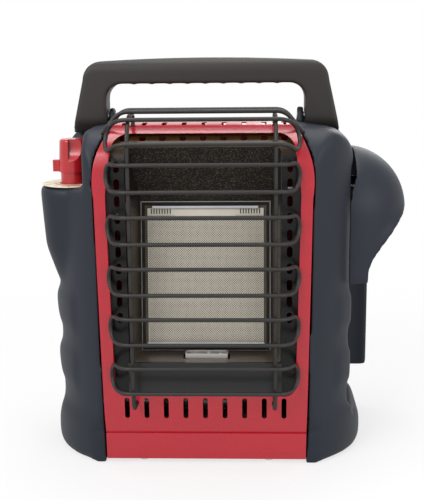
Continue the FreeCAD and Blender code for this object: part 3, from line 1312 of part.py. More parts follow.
def guard_loop(centre, angle, turn):
    """Closed wire loop across the guard, its ends bent in towards the bezel."""
    tilt = math.radians(angle)
    bend = math.radians(turn)
    rise = V(0, math.sin(tilt), math.cos(tilt))
    inward = V(0, math.cos(tilt), -math.sin(tilt))
    reach = GUARD_STAND - SEAT - WIRE - LOOP_BEND * (1 - math.cos(bend))
    run = max(reach / math.sin(bend) - LOOP_HALF_HEIGHT, 1.0)

    def place(x, depth, height):
        return centre + X_AXIS * x + inward * depth + rise * height

    def half_loop(side):
        high = LOOP_HALF_HEIGHT
        bent_x = LOOP_STRAIGHT + LOOP_BEND * math.sin(bend)
        bent_in = LOOP_BEND * (1 - math.cos(bend))
        via_x = LOOP_STRAIGHT + LOOP_BEND * math.sin(bend / 2)
        via_in = LOOP_BEND * (1 - math.cos(bend / 2))
        end_x = bent_x + run * math.cos(bend)
        end_in = bent_in + run * math.sin(bend)
        tip_x = end_x + high * math.cos(bend)
        tip_in = end_in + high * math.sin(bend)
        upper = [Part.Arc(place(side * LOOP_STRAIGHT, 0, high), place(side * via_x, via_in, high),
                          place(side * bent_x, bent_in, high)).toShape(),
                 Part.makeLine(place(side * bent_x, bent_in, high), place(side * end_x, end_in, high))]
        tip = Part.Arc(place(side * end_x, end_in, high), place(side * tip_x, tip_in, 0),
                       place(side * end_x, end_in, -high)).toShape()
        lower = [Part.makeLine(place(side * end_x, end_in, -high), place(side * bent_x, bent_in, -high)),
                 Part.Arc(place(side * bent_x, bent_in, -high), place(side * via_x, via_in, -high),
                          place(side * LOOP_STRAIGHT, 0, -high)).toShape()]
        return upper + [tip] + lower

    high = LOOP_HALF_HEIGHT
    top = Part.makeLine(place(-LOOP_STRAIGHT, 0, high), place(LOOP_STRAIGHT, 0, high))
    bottom = Part.makeLine(place(LOOP_STRAIGHT, 0, -high), place(-LOOP_STRAIGHT, 0, -high))
    edges = [top] + half_loop(1) + [bottom] + half_loop(-1)[::-1]
    return swept(edges, place(-LOOP_STRAIGHT, 0, high), X_AXIS, WIRE)


def guard_loops():
    front = -HALF_DEPTH - GUARD_STAND
    bend_y = front + GUARD_BEND_RADIUS
    loops = [guard_loop(V(0, front, LOOP_FIRST_Z + index * LOOP_PITCH), 0, LOOP_TURN)
             for index in range(LOOP_COUNT)]
    chord = math.sqrt(GUARD_BEND_RADIUS ** 2 - LOOP_HALF_HEIGHT ** 2)
    lean = math.radians(SECOND_LOOP_ANGLE)
    second = V(0, bend_y - chord * math.cos(lean), GUARD_BEND_Z + chord * math.sin(lean))
    loops.append(guard_loop(second, SECOND_LOOP_ANGLE, LOOP_TURN))
    top = V(0, bend_y + TOP_LOOP_SHIFT, GUARD_BEND_Z + GUARD_BEND_RADIUS)
    loops.append(guard_loop(top, 90, TOP_LOOP_TURN))
    return group(loops)


def guard_uprights():
    inner = 2 * WIRE + WELD
    y = -HALF_DEPTH - GUARD_STAND + inner
    top = GUARD_BEND_Z + GUARD_BEND_RADIUS - inner
    low = UPRIGHT_LOW_Z - LOW_HOOK_DROP
    bars = []
    bends = [9, GUARD_BEND_RADIUS - inner, 7]
    for x in (-UPRIGHT_X, UPRIGHT_X):
        bars.append(pipe([(x, -HALF_DEPTH + 8, low), (x, y, low), (x, y, top), (x, UPRIGHT_HOOK_Y, top),
                          (x, UPRIGHT_HOOK_Y, CREST_Z - UPRIGHT_HOOK_DIP)], bends, WIRE))
    return group(bars)


def cover_screws(side):
    """Screws from inside the casing, through its side wall into the cover's posts."""
    screws = []
    for y, z in cover_screw_places():
        seat = casing_half(z - SCREW_HEAD) - SHEET - SEAT
        head = rod(SCREW_HEAD, (seat - SCREW_HEAD_HEIGHT, y, z), (seat, y, z))
        shank = rod(SCREW_RADIUS, (seat - 1, y, z), (SCREW_END_X, y, z))
        screw = head.fuse(shank)
        screws.append(mirrored(screw) if side < 0 else screw)
    return group(screws)


def cover_screw_holes():
    return [rod(SCREW_RADIUS + SEAT, (-FAR, y, z), (FAR, y, z)) for y, z in cover_screw_places()]


def save(name, shape):
    placed = shape.copy()
    placed.translate(V(-CENTRE_X, -CENTRE_Y, 0))
    if len(placed.Solids) == 1:
        placed = placed.Solids[0]
    placed.exportStep(os.path.join("parts", name + ".step"))
    return placed


def build():
    sheet = casing_sheet().cut(cover_screw_holes() + side_wall_holes())
    return {
        "front_bezel": front_bezel(sheet),
        "rear_casing": rear_casing(sheet),
        "base_pan": base_pan(),
        "rear_heat_shield": rear_heat_shield(),
        "left_side_cover": left_side_cover(),
        "right_side_cover": right_side_cover(),
        "cylinder_hood": cylinder_hood(),
        "heat_shield_frame": heat_shield_frame(),
        "reflector": reflector(),
        "lower_lip": lower_lip(),
        "ceramic_plaque": ceramic_plaque(),
        "plaque_gasket": plaque_gasket(),
        "burner_housing": burner_housing(),
        "burner_frame": burner_frame(),
        "burner_screen": burner_screen(),
        "pilot_bracket": pilot_bracket(),
        "pilot_burner": pilot_burner(),
        "thermocouple": thermocouple(),
        "igniter_electrode": igniter_electrode(),
        "orifice_fitting": orifice_fitting(),
        "venturi_tube": venturi_tube(),
        "supply_tube": supply_tube(),
        "burner_tube": burner_tube(),
        "pilot_tube": pilot_tube(),
        "thermocouple_lead": thermocouple_lead(),
        "igniter_lead": igniter_lead(),
        "piezo_igniter": piezo_igniter(),
        "valve_body": valve_body(),
        "valve_rotor": valve_rotor(),
        "valve_stem": valve_stem(),
        "knob_spring": knob_spring(),
        "valve_screws": valve_screws(),
        "control_knob": control_knob(),
        "dial_plate": dial_plate(),
        "swivel_mount": swivel_mount(),
        "swivel_pin": swivel_pin(),
        "regulator_body": regulator_body(),
        "regulator_cap": regulator_cap(),
        "cylinder_inlet": cylinder_inlet(),
        "inlet_seal": inlet_seal(),
        "tip_switch_housing": tip_switch_housing(),
        "tip_switch_cover": tip_switch_cover(),
        "tip_pendulum": tip_pendulum(),
        "tip_switch_pin": tip_switch_pin(),
        "guard_loops": guard_loops(),
        "guard_uprights": guard_uprights(),
        "carry_handle": carry_handle(),
        "handle_pins": handle_pins(),
        "base_screws": base_screws(),
        "cover_screws_left": cover_screws(-1),
        "cover_screws_right": cover_screws(1),
    }


os.makedirs("parts", exist_ok=True)
for node, shape in build().items():
    solid = save(node, shape)
    print(node, "solids", len(solid.Solids), "valid", solid.isValid(), "volume", round(solid.Volume))
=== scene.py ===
import json
import math

import bmesh
import bpy
from bpy.props import FloatProperty, FloatVectorProperty, IntProperty, PointerProperty
from mathutils import Matrix, Quaternion, Vector

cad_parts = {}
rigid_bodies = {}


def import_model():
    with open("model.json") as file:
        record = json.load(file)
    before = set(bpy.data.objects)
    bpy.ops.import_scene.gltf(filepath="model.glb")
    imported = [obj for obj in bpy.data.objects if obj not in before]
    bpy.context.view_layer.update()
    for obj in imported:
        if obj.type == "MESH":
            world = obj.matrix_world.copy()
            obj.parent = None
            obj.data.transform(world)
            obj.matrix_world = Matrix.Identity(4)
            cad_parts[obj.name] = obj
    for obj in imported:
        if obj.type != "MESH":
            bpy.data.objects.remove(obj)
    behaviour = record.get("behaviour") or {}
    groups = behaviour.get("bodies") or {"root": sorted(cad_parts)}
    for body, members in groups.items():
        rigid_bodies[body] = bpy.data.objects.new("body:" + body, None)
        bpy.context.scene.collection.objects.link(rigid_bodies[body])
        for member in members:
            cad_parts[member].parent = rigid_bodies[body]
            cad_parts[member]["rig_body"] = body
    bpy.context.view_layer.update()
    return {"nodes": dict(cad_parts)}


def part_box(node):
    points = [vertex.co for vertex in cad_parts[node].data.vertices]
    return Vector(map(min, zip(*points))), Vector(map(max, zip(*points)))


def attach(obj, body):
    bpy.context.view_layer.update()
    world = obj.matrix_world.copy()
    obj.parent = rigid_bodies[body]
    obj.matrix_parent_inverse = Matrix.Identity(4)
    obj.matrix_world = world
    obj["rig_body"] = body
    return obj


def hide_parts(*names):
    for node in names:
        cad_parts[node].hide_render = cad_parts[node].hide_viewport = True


for leftover in list(bpy.data.objects):
    bpy.data.objects.remove(leftover)
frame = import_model()

bl_info = {
    "name": "Portable Propane Heater",
    "version": (1, 0, 0),
    "blender": (4, 5, 0),
    "location": "View3D > Sidebar > Heater",
    "description": "Dresses a portable propane heater's frame in its mouldings, enamel, wires and burner",
    "category": "Object",
}

# Limits for telling a shape's flat, round and sharp places apart
WELD_GAP = 0.00001
FLAT_ANGLE = math.radians(0.4)
SHARP_ANGLE = math.radians(38)
MOST_TRIANGLES = 200000

# The plaque that the burner's frame and screen lie on
PLAQUE_LEAN = math.radians(8)
PLAQUE_THICK = 0.013
PLAQUE_HEIGHT = 0.136

# How far the burner's sheets stand off the plaque, stop short of its sides and are rounded
RIM_SEAT = 0.0003
BAR_SEAT = 0.0004
BAR_SHORT = 0.007
BAR_ROUNDING = 0.0009
FOOT_SHORT = 0.002
FOOT_ROUNDING = 0.0003
STRIP_SHEET = 0.0006
STRIP_STAND = 0.0014
STRIP_ROUNDING = 0.00012
SLOT_MARGIN = 0.27
SCREEN_SEAT = 0.0004
SCREEN_SIDE_GAP = 0.0004
SCREEN_TOP_LAP = 0.0012
SCREEN_RISE = 0.0005
CUT_GAP = 0.0000001
WHOLE_CELL = 0.8

# Radii on the dial: the marks' ends and the wedge's inside
MARK_INNER = 0.0225
MARK_OUTER = 0.0275
WEDGE_INNER = 0.0165

# Places and sizes on the stage
KEY_PLACE = (-0.9, -1.25, 1.15)
FILL_PLACE = (1.2, -1.1, 0.7)
TOP_PLACE = (0.0, 0.1, 1.5)
BACK_PLACE = (0.5, 1.5, 1.0)
LAMP_SIZE = 1.0
TOP_LAMP_SIZE = 0.9
FLOOR_REACH = 6.0
FLOOR_DROP = 0.0003
SENSOR_WIDTH = 36.0
VIEW_END = 30.0
WHITE = (1.0, 1.0, 1.0, 1.0)

# Order in which the pieces are made
STEPS = ("covers", "hood", "handle", "casing", "guard", "fire_box", "burner", "pilot", "knob",
         "regulator", "inner_parts", "stage")


# Sizes and colours that a user would change

def length(name, description, default):
    return FloatProperty(name=name, description=description, default=default, min=0.0, precision=5,
                         unit="LENGTH")


def colour(name, description, default):
    return FloatVectorProperty(name=name, description=description, default=default, size=3, min=0.0, max=1.0,
                               subtype="COLOR")


class HeaterSizes(bpy.types.PropertyGroup):
    """Sizes of the details that the pieces are given"""

    cover_grid: length("Cover Grid", "Spacing of the side covers' mesh", 0.0018)
    hood_grid: length("Hood Grid", "Spacing of the cylinder hood's mesh", 0.0016)
    handle_grid: length("Handle Grid", "Spacing of the carry handle's mesh", 0.0012)
    cover_passes: IntProperty(name="Cover Softening", default=5, min=0,
                              description="How often the covers' edges are softened")
    cover_rounding: IntProperty(name="Cover Rounding", default=16, min=0,
                                description="Extra softening away from the covers' seams")
    cover_seam: length("Cover Seam", "How far from the middle the extra softening begins", 0.106)
    handle_passes: IntProperty(name="Handle Softening", default=9, min=0,
                               description="How often the handle's edges are softened")
    sheet_edge: length("Sheet Edge", "Rounding along the edges of sheet steel", 0.0002)
    turned_edge: length("Turned Edge", "Rounding along the edges of turned and cast parts", 0.0004)
    knob_edge: length("Knob Edge", "Rounding along the knob's edges", 0.0007)
    wire_edge: length("Wire Edge", "Rounding at the ends of the guard's wires", 0.0005)
    frame_border: length("Frame Border", "Width of the burner frame's rim", 0.0025)
    frame_corner: length("Frame Corner", "Radius of the burner frame's corners", 0.005)
    frame_sheet: length("Frame Sheet", "Thickness of the burner frame's rim", 0.001)
    strip_height: length("Strip Height", "Height of the slotted strip over the screen", 0.0065)
    strip_step: length("Strip Step", "How far the strip's middle reaches down", 0.002)
    slot_pitch: length("Slot Pitch", "Distance between the strip's slots", 0.0026)
    bar_height: length("Bar Height", "Height of the bright bar over the strip", 0.003)
    bar_depth: length("Bar Depth", "How far the bright bar stands out", 0.004)
    foot_height: length("Foot Height", "Height of the folded bar under the screen", 0.005)
    foot_depth: length("Foot Depth", "How far the folded bar stands out", 0.006)
    screen_cell: length("Screen Cell", "Side of one diamond of the burner's screen", 0.00156)
    screen_strand: length("Screen Strand", "Half the width of the screen's strands", 0.00030)
    screen_sheet: length("Screen Sheet", "Thickness of the burner's screen", 0.0005)


class HeaterColours(bpy.types.PropertyGroup):
    """Colours of the finishes"""

    red: colour("Red Enamel", "Sheet steel of the casing", (0.40, 0.004, 0.016))
    plastic: colour("Black Plastic", "Side covers and hood", (0.008, 0.0115, 0.019))
    handle: colour("Handle Plastic", "Carry handle", (0.014, 0.0115, 0.0105))
    black: colour("Black Enamel", "Frame in the opening and the lip under it", (0.004, 0.004, 0.004))
    stain: colour("Heat Stain", "Brown of the steel over the burner", (0.055, 0.028, 0.009))
    wire: colour("Guard Coating", "Wires of the guard", (0.014, 0.013, 0.012))
    steel: colour("Bright Steel", "Burner frame, screws and pins", (0.50, 0.50, 0.52))
    tan: colour("Tempered Steel", "Reflector's sides and floor", (0.15, 0.125, 0.10))
    # Painted shade: dark colour that stands for the shade on the reflector's top
    painted_top_shade: colour("Painted Top Shade", "Reflector's top", (0.035, 0.030, 0.024))
    screen: colour("Screen Steel", "Screen and slotted strip", (0.56, 0.52, 0.44))
    # Painted shade: the cream plaque is darkened to stand for the shade behind the screen
    ceramic: colour("Ceramic", "Plaque behind the screen", (0.12, 0.10, 0.075))
    # Painted shade: the pale felt is darkened to stand for the shade in the recess round the plaque
    felt: colour("Felt", "Gasket round the plaque", (0.02, 0.019, 0.017))
    brass: colour("Brass", "Fittings", (0.55, 0.40, 0.16))
    aluminium: colour("Aluminium", "Gas tubes", (0.72, 0.73, 0.75))
    cast: colour("Cast Alloy", "Regulator and its swivel", (0.42, 0.43, 0.45))
    glaze: colour("White Glaze", "Electrode's insulator", (0.80, 0.80, 0.77))
    knob: colour("Knob Plastic", "Control knob", (0.42, 0.006, 0.012))
    dial: colour("Dial Print", "Ring under the knob", (0.70, 0.63, 0.47))
    rubber: colour("Rubber", "Seal and lead", (0.018, 0.018, 0.018))


class HeaterStage(bpy.types.PropertyGroup):
    """Camera and lamps"""

    camera_place: FloatVectorProperty(name="Camera Place", description="Where the camera stands", size=3,
                                      default=(0.02275, -0.93805, 0.400), subtype="TRANSLATION", unit="LENGTH")
    camera_target: FloatVectorProperty(name="Camera Target", description="The point that the camera looks at",
                                       size=3, default=(-0.01375, 0.01195, 0.192), subtype="TRANSLATION",
                                       unit="LENGTH")
    camera_roll: FloatProperty(name="Camera Roll", description="Turn of the camera about its line of sight",
                               default=math.radians(-0.6), subtype="ANGLE")
    lens: FloatProperty(name="Lens", description="Focal length of the camera in millimetres", default=70.056,
                        min=1.0)
    key_power: FloatProperty(name="Key Lamp", description="Power of the lamp at the front left", default=24.0,
                             min=0.0, unit="POWER")
    fill_power: FloatProperty(name="Fill Lamp", description="Power of the lamp at the front right", default=12.0,
                              min=0.0, unit="POWER")
    top_power: FloatProperty(name="Top Lamp", description="Power of the lamp overhead", default=13.0, min=0.0,
                             unit="POWER")
    back_power: FloatProperty(name="Back Lamp", description="Power of the lamp behind", default=9.0, min=0.0,
                              unit="POWER")
    sky: FloatProperty(name="Sky", description="Brightness of the soft light from all round", default=0.17,
                       min=0.0)


def sizes():
    return bpy.context.scene.heater_sizes


def tint(name, level=1.0):
    """A colour by its property's name, made paler or darker."""
    red, green, blue = getattr(bpy.context.scene.heater_colours, name)
    return (red * level, green * level, blue * level, 1.0)


# Finishes

class Socket:
    """A node's output that takes arithmetic with numbers and with other outputs"""

    def __init__(self, finish, output):
        self.finish = finish
        self.output = output

    def math(self, operation, other=None, first=False):
        values = [self] if other is None else [other, self] if first else [self, other]
        return self.finish.node("ShaderNodeMath", {"operation": operation}, dict(enumerate(values)))

    def __add__(self, other):
        return self.math("ADD", other)

    def __radd__(self, other):
        return self.math("ADD", other)

    def __sub__(self, other):
        return self.math("SUBTRACT", other)

    def __rsub__(self, other):
        return self.math("SUBTRACT", other, first=True)

    def __mul__(self, other):
        return self.math("MULTIPLY", other)

    def __rmul__(self, other):
        return self.math("MULTIPLY", other)

    def __truediv__(self, other):
        return self.math("DIVIDE", other)

    def __pow__(self, other):
        return self.math("POWER", other)

    def over(self, other):
        return self.math("GREATER_THAN", other)

    def under(self, other):
        return self.math("LESS_THAN", other)


class Finish:
    """Builds one node tree"""

    def __init__(self, tree):
        self.tree = tree
        tree.nodes.clear()

    def node(self, kind, settings=None, inputs=None, output=0):
        made = self.tree.nodes.new(kind)
        for key, value in (settings or {}).items():
            setattr(made, key, value)
        for key, value in (inputs or {}).items():
            if isinstance(value, Socket):
                self.tree.links.new(value.output, made.inputs[key])
            else:
                made.inputs[key].default_value = value
        return Socket(self, made.outputs[output]) if len(made.outputs) else None

    def place(self, scale=(1.0, 1.0, 1.0), location=(0.0, 0.0, 0.0)):
        """Places on the object, stretched and then moved."""
        here = self.node("ShaderNodeTexCoord", output="Object")
        return self.node("ShaderNodeMapping", {}, {"Vector": here, "Location": location, "Scale": scale})

    def axes(self, vector):
        return [self.node("ShaderNodeSeparateXYZ", {}, {0: vector}, output) for output in range(3)]

    def noise(self, size, detail=2.0, scale=(1.0, 1.0, 1.0)):
        """Cloudy values from 0 to 1 with patches of about a size in metres."""
        return self.node("ShaderNodeTexNoise", {}, {"Vector": self.place(scale), "Scale": 1.0 / size,
                                                    "Detail": detail})

    def cells(self, size):
        """Distance from the middles of scattered cells of a size in metres."""
        return self.node("ShaderNodeTexVoronoi", {}, {"Vector": self.place(), "Scale": 1.0 / size})

    def span(self, value, low, high, to_low=0.0, to_high=1.0):
        return self.node("ShaderNodeMapRange", {"interpolation_type": "SMOOTHSTEP"},
                         {0: value, 1: low, 2: high, 3: to_low, 4: to_high})

    def blend(self, share, low, high):
        return self.node("ShaderNodeMix", {"data_type": "RGBA"}, {0: share, 6: low, 7: high}, output=2)

    def bump(self, height, distance, strength=1.0):
        return self.node("ShaderNodeBump", {}, {"Strength": strength, "Distance": distance, "Height": height})

    def surface(self, base, roughness, metallic=0.0, bump=None, specular=0.5, coat=0.0):
        inputs = {"Base Color": base, "Roughness": roughness, "Metallic": metallic,
                  "Specular IOR Level": specular, "Coat Weight": coat, "Coat Roughness": 0.12}
        if bump:
            inputs["Normal"] = bump
        shader = self.node("ShaderNodeBsdfPrincipled", {}, inputs)
        self.node("ShaderNodeOutputMaterial", {}, {"Surface": shader})


def finish(name, build, *words):
    """A material by name, made by its function when it is first asked for."""
    found = bpy.data.materials.get(name)
    if found is None:
        found = bpy.data.materials.new(name)
        found.use_nodes = True
        build(Finish(found.node_tree), *words)
    return found


def grained_plastic(make, hue, shine=0.3):
    """Polymer with a fine etched grain, a little paler along its sharp convex edges."""
    grain = make.noise(0.0007, 3.0)
    pits = make.cells(0.0013)
    cloud = make.noise(0.07)
    edge = make.node("ShaderNodeNewGeometry", output="Pointiness")
    # Paler where the surface is most convex
    pale_edge = make.span(edge, 0.52, 0.62) * 0.4
    base = make.blend(cloud, tint(hue, 0.85), tint(hue, 1.2))
    base = make.blend(pale_edge, base, tint(hue, 2.6))
    rough = 0.45 + cloud * 0.1 + grain * 0.06
    make.surface(base, rough, 0.0, make.bump(grain + pits * 0.6, 0.00008, 0.45), shine)


def smooth_plastic(make, hue, shine=0.5):
    """Glossy moulded plastic with faint sink marks and fine scratches."""
    sink = make.noise(0.012)
    scratch = make.span(make.noise(0.0008, 4.0, (0.3, 2.0, 1.0)), 0.60, 0.72)
    base = make.blend(sink, tint(hue, 0.9), tint(hue, 1.1))
    make.surface(base, 0.2 + sink * 0.08 + scratch * 0.15, 0.0, make.bump(sink, 0.0001, 0.3), shine, 0.4)


def enamel(make, hue, rough=0.24, shine=0.45, coat=0.35):
    """Baked enamel with a faint orange peel, some dust and slow changes of shade."""
    peel = make.noise(0.0035, 1.0)
    dust = make.span(make.noise(0.0011, 4.0), 0.63, 0.74)
    cloud = make.noise(0.09)
    base = make.blend(cloud, tint(hue, 0.92), tint(hue, 1.07))
    make.surface(base, rough + cloud * 0.06 + dust * 0.12, 0.0, make.bump(peel, 0.00006, 0.35), shine, coat)


def stained_enamel(make, hue):
    """Black enamel that the burner's heat has browned towards the top."""
    place = make.place()
    height = make.axes(place)[2]
    patch = make.noise(0.03, 3.0)
    brown = make.span(height + patch * 0.012, 0.296, 0.318)
    speck = make.span(make.noise(0.0016, 3.0), 0.58, 0.70)
    base = make.blend(brown, tint(hue), tint("stain"))
    base = make.blend(speck * 0.25, base, tint("stain", 0.7))
    rough = 0.2 + patch * 0.1 + speck * 0.2
    make.surface(base, rough, 0.0, make.bump(make.noise(0.003, 1.0), 0.00005, 0.35), 0.25)


def coated_wire(make, hue):
    """Satin coating on wire, a little rubbed and dusty."""
    cloud = make.noise(0.02, 3.0)
    grain = make.noise(0.0006, 2.0)
    base = make.blend(cloud, tint(hue, 0.8), tint(hue, 1.4))
    make.surface(base, 0.36 + cloud * 0.14 + grain * 0.08, 0.15, make.bump(grain, 0.00005, 0.35), 0.4)


def brushed_metal(make, hue, rough=0.28, scale=(0.04, 1.0, 1.0)):
    """Metal with fine streaks along one direction and faint stains."""
    streak = make.noise(0.0006, 3.0, scale)
    cloud = make.noise(0.025, 3.0)
    base = make.blend(cloud, tint(hue, 0.84), tint(hue, 1.12))
    base = make.blend(streak * 0.35, base, tint(hue, 0.7))
    make.surface(base, rough + streak * 0.14 + cloud * 0.06, 1.0, make.bump(streak, 0.00003, 0.4))


def rough_metal(make, hue, rough=0.42, grit=0.0009):
    """Cast or drawn metal with an even fine grit."""
    grain = make.noise(grit, 3.0)
    cloud = make.noise(0.02, 2.0)
    base = make.blend(cloud, tint(hue, 0.85), tint(hue, 1.12))
    make.surface(base, rough + cloud * 0.1, 1.0, make.bump(grain, 0.00008, 0.5))


def reflector_metal(make):
    """Brushed steel tempered tan by heat, with painted shade and specks on its top over the burner."""
    place = make.place()
    height = make.axes(place)[2]
    streak = make.noise(0.0007, 3.0, (1.0, 0.05, 1.0))
    patch = make.noise(0.02, 3.0)
    speck = make.span(make.noise(0.0014, 4.0), 0.50, 0.66)
    # Painted shade: the reflector turns dark towards its top, with paler specks
    top_shade_mask = make.span(height + patch * 0.02, 0.235, 0.270)
    low = make.span(height, 0.125, 0.100)
    base = make.blend(patch, tint("tan", 0.55), tint("tan", 0.8))
    base = make.blend(low, base, tint("tan", 1.4))
    base = make.blend(streak * 0.3, base, tint("tan", 0.4))
    top = make.blend(speck, tint("painted_top_shade", 0.6), tint("painted_top_shade", 3.0))
    base = make.blend(top_shade_mask, base, top)
    rough = 0.34 + streak * 0.14 + top_shade_mask * speck * 0.2
    make.surface(base, rough, 0.85, make.bump(streak + speck * 0.4, 0.00005, 0.4))


def screen_metal(make, hue):
    """Pale dull steel that has seen heat."""
    patch = make.noise(0.03, 3.0)
    grain = make.noise(0.0005, 2.0)
    base = make.blend(patch, tint(hue, 0.86), tint(hue, 1.1))
    make.surface(base, 0.42 + patch * 0.1 + grain * 0.08, 0.35, make.bump(grain, 0.00004, 0.4))


def pierced_ceramic(make, hue):
    """Fired ceramic pierced by rows of fine holes, with painted shade in the holes."""
    pitch = 0.0016
    x, _, z = make.axes(make.place((1.0 / pitch, 1.0 / pitch, 1.0 / pitch)))
    rise = (x + z).math("FRACT") - 0.5
    fall = (x - z).math("FRACT") - 0.5
    hole = make.span((rise * rise + fall * fall) ** 0.5, 0.30, 0.20)
    grain = make.noise(0.001, 2.0)
    base = make.blend(grain, tint(hue, 0.8), tint(hue, 1.2))
    # Painted shade: the holes are painted dark
    base = make.blend(hole, base, tint(hue, 0.2))
    make.surface(base, 0.85 - hole * 0.1, 0.0, make.bump(grain * 0.2 - hole, 0.0004, 0.6), 0.3)


def dull_cloth(make, hue):
    """Pressed mineral felt."""
    fibre = make.noise(0.0008, 5.0, (1.0, 0.3, 1.0))
    base = make.blend(fibre, tint(hue, 0.6), tint(hue, 1.3))
    make.surface(base, 0.9 + fibre * 0.05, 0.0, make.bump(fibre, 0.0003, 0.6), 0.2)


def glazed_ceramic(make, hue):
    """White glaze with a few brown specks."""
    speck = make.span(make.noise(0.0009, 3.0), 0.6, 0.7)
    base = make.blend(speck * 0.3, tint(hue), tint("stain", 3.0))
    make.surface(base, 0.16 + speck * 0.2, 0.0, make.bump(make.noise(0.003), 0.00005, 0.3), 0.5)


def soft_rubber(make, hue):
    """Dull rubber with a fine grain."""
    grain = make.noise(0.0009, 3.0)
    make.surface(make.blend(grain, tint(hue, 0.7), tint(hue, 1.4)), 0.6 + grain * 0.15, 0.0,
                 make.bump(grain, 0.0001, 0.4), 0.3)


def printed_dial(make):
    """Pale ring with plain marks and a wedge that grows with the flame."""
    low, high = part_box("valve_stem")
    middle = (low + high) / 2
    x, y, _ = make.axes(make.place(location=(-middle.x, -middle.y, 0.0)))
    turn = y.math("ARCTAN2", x) / math.tau + 0.5
    radius = (x * x + y * y) ** 0.5
    near = ((turn * 12.0 + 0.5).math("FRACT") - 0.5).math("ABSOLUTE")
    used = turn.under(0.36) + turn.over(0.98)
    mark = near.under(0.05) * radius.over(MARK_INNER) * radius.under(MARK_OUTER) * used
    wedge = radius.over(WEDGE_INNER) * radius.under(turn * 0.016 + WEDGE_INNER) * turn.under(0.334)
    grain = make.noise(0.0015, 3.0)
    base = make.blend(grain, tint("dial", 0.9), tint("dial", 1.06))
    base = make.blend(wedge, base, tint("red"))
    base = make.blend(mark.math("MINIMUM", 1.0), base, tint("black"))
    make.surface(base, 0.34 + grain * 0.1, 0.0, make.bump(grain, 0.00003, 0.3), 0.4)


def black_plastic():
    return finish("grained_black_plastic", grained_plastic, "plastic")


def cap_plastic():
    return finish("cap_plastic_satin", smooth_plastic, "rubber", 0.4)


def black_enamel():
    return finish("black_baked_enamel", enamel, "black", 0.3, 0.4, 0.15)


def bright_steel():
    return finish("bright_steel", brushed_metal, "steel")


def pale_steel():
    return finish("pale_screen_steel", screen_metal, "screen")


def turned_brass():
    return finish("turned_brass", rough_metal, "brass", 0.3)


# Making pieces

def body_of(node):
    return frame["nodes"][node]["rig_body"]


def welded(node):
    """A CAD node's shape as one closed skin."""
    form = bmesh.new()
    form.from_mesh(frame["nodes"][node].data)
    bmesh.ops.remove_doubles(form, verts=form.verts[:], dist=WELD_GAP)
    bmesh.ops.dissolve_degenerate(form, edges=form.edges[:], dist=WELD_GAP)
    return form


def ease(form, width, segments=2):
    """Rounds the sharp edges."""
    sharp = [edge for edge in form.edges if edge.calc_face_angle(0.0) > SHARP_ANGLE]
    if sharp and width:
        bmesh.ops.bevel(form, geom=sharp, offset=width, offset_type="OFFSET", segments=segments, profile=0.5,
                        affect="EDGES", clamp_overlap=False, material=-1)


def shade_by_angle(form):
    for face in form.faces:
        face.smooth = True
    for edge in form.edges:
        edge.smooth = edge.calc_face_angle(math.pi) < SHARP_ANGLE


def stays_inside(form, node):
    """Whether a form keeps to its node's box, so that no bevel shot out of it."""
    low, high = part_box(node)
    slack = 2 * WELD_GAP
    return all(low[axis] - slack < vert.co[axis] < high[axis] + slack
               for vert in form.verts for axis in range(3))


def piece_from(form, name, body, material, nodes=()):
    """Object of a finished form, riding on its body."""
    if not form.faces:
        raise RuntimeError(name + " came out empty")
    mesh = bpy.data.meshes.new(name)
    form.to_mesh(mesh)
    form.free()
    if "custom_normal" in mesh.attributes:
        mesh.attributes.remove(mesh.attributes["custom_normal"])
    mesh.materials.clear()
    mesh.materials.append(material)
    piece = bpy.data.objects.new(name, mesh)
    bpy.context.scene.collection.objects.link(piece)
    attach(piece, body)
    if nodes:
        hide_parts(*nodes)
    return piece


def even_shading(piece):
    """Keeps flat faces looking flat beside their rounded edges."""
    weighted = piece.modifiers.new("even_shading", "WEIGHTED_NORMAL")
    weighted.keep_sharp = True


def eased(node, width, material):
    """Stands in for a CAD node with the same shape, its sharp edges rounded and its round faces smooth."""
    form = welded(node)
    bmesh.ops.dissolve_limit(form, angle_limit=FLAT_ANGLE, verts=form.verts[:], edges=form.edges[:])
    ease(form, width)
    if not stays_inside(form, node):
        form.free()
        form = welded(node)
    shade_by_angle(form)
    piece = piece_from(form, node + "_dressed", body_of(node), material, [node])
    even_shading(piece)
    return piece


def moulded(node, grid, passes, material, seam=None, more=0):
    """Stands in for a CAD node with a moulding's soft edges, by an even skin that is then smoothed.

    Places farther from the heater's middle than the seam are smoothed more often."""
    piece = piece_from(welded(node), node + "_moulding", body_of(node), material, [node])
    skin = piece.modifiers.new("even_skin", "REMESH")
    skin.mode = "VOXEL"
    skin.voxel_size = grid
    bpy.context.view_layer.update()
    seen = bpy.context.evaluated_depsgraph_get()
    mesh = bpy.data.meshes.new_from_object(piece.evaluated_get(seen), depsgraph=seen)
    piece.modifiers.clear()
    form = bmesh.new()
    form.from_mesh(mesh)
    soften(form, form.verts[:], passes)
    if seam:
        centre = middle_x()
        soften(form, [vert for vert in form.verts if abs(vert.co.x - centre) > seam], more)
        soften(form, [vert for vert in form.verts if abs(vert.co.x - centre) > seam + 3 * grid], more)
        soften(form, form.verts[:], 2)
    for face in form.faces:
        face.smooth = True
    form.to_mesh(mesh)
    form.free()
    piece.data = mesh
    mesh.calc_loop_triangles()
    if not 0 < len(mesh.loop_triangles) < MOST_TRIANGLES:
        raise RuntimeError("%s has %d triangles" % (piece.name, len(mesh.loop_triangles)))
    return piece


def soften(form, verts, passes):
    """Draws points towards their neighbours, a number of times."""
    for _ in range(passes):
        bmesh.ops.smooth_vert(form, verts=verts, factor=0.5, use_axis_x=True, use_axis_y=True,
                              use_axis_z=True)


def middle_x():
    """The heater's middle across, from its red face."""
    low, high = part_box("front_bezel")
    return (low.x + high.x) / 2


def keep(material, *nodes):
    """Gives CAD nodes that keep their shape a better material."""
    for node in nodes:
        materials = frame["nodes"][node].data.materials
        if not materials:
            materials.append(material)
        for index in range(len(materials)):
            materials[index] = material


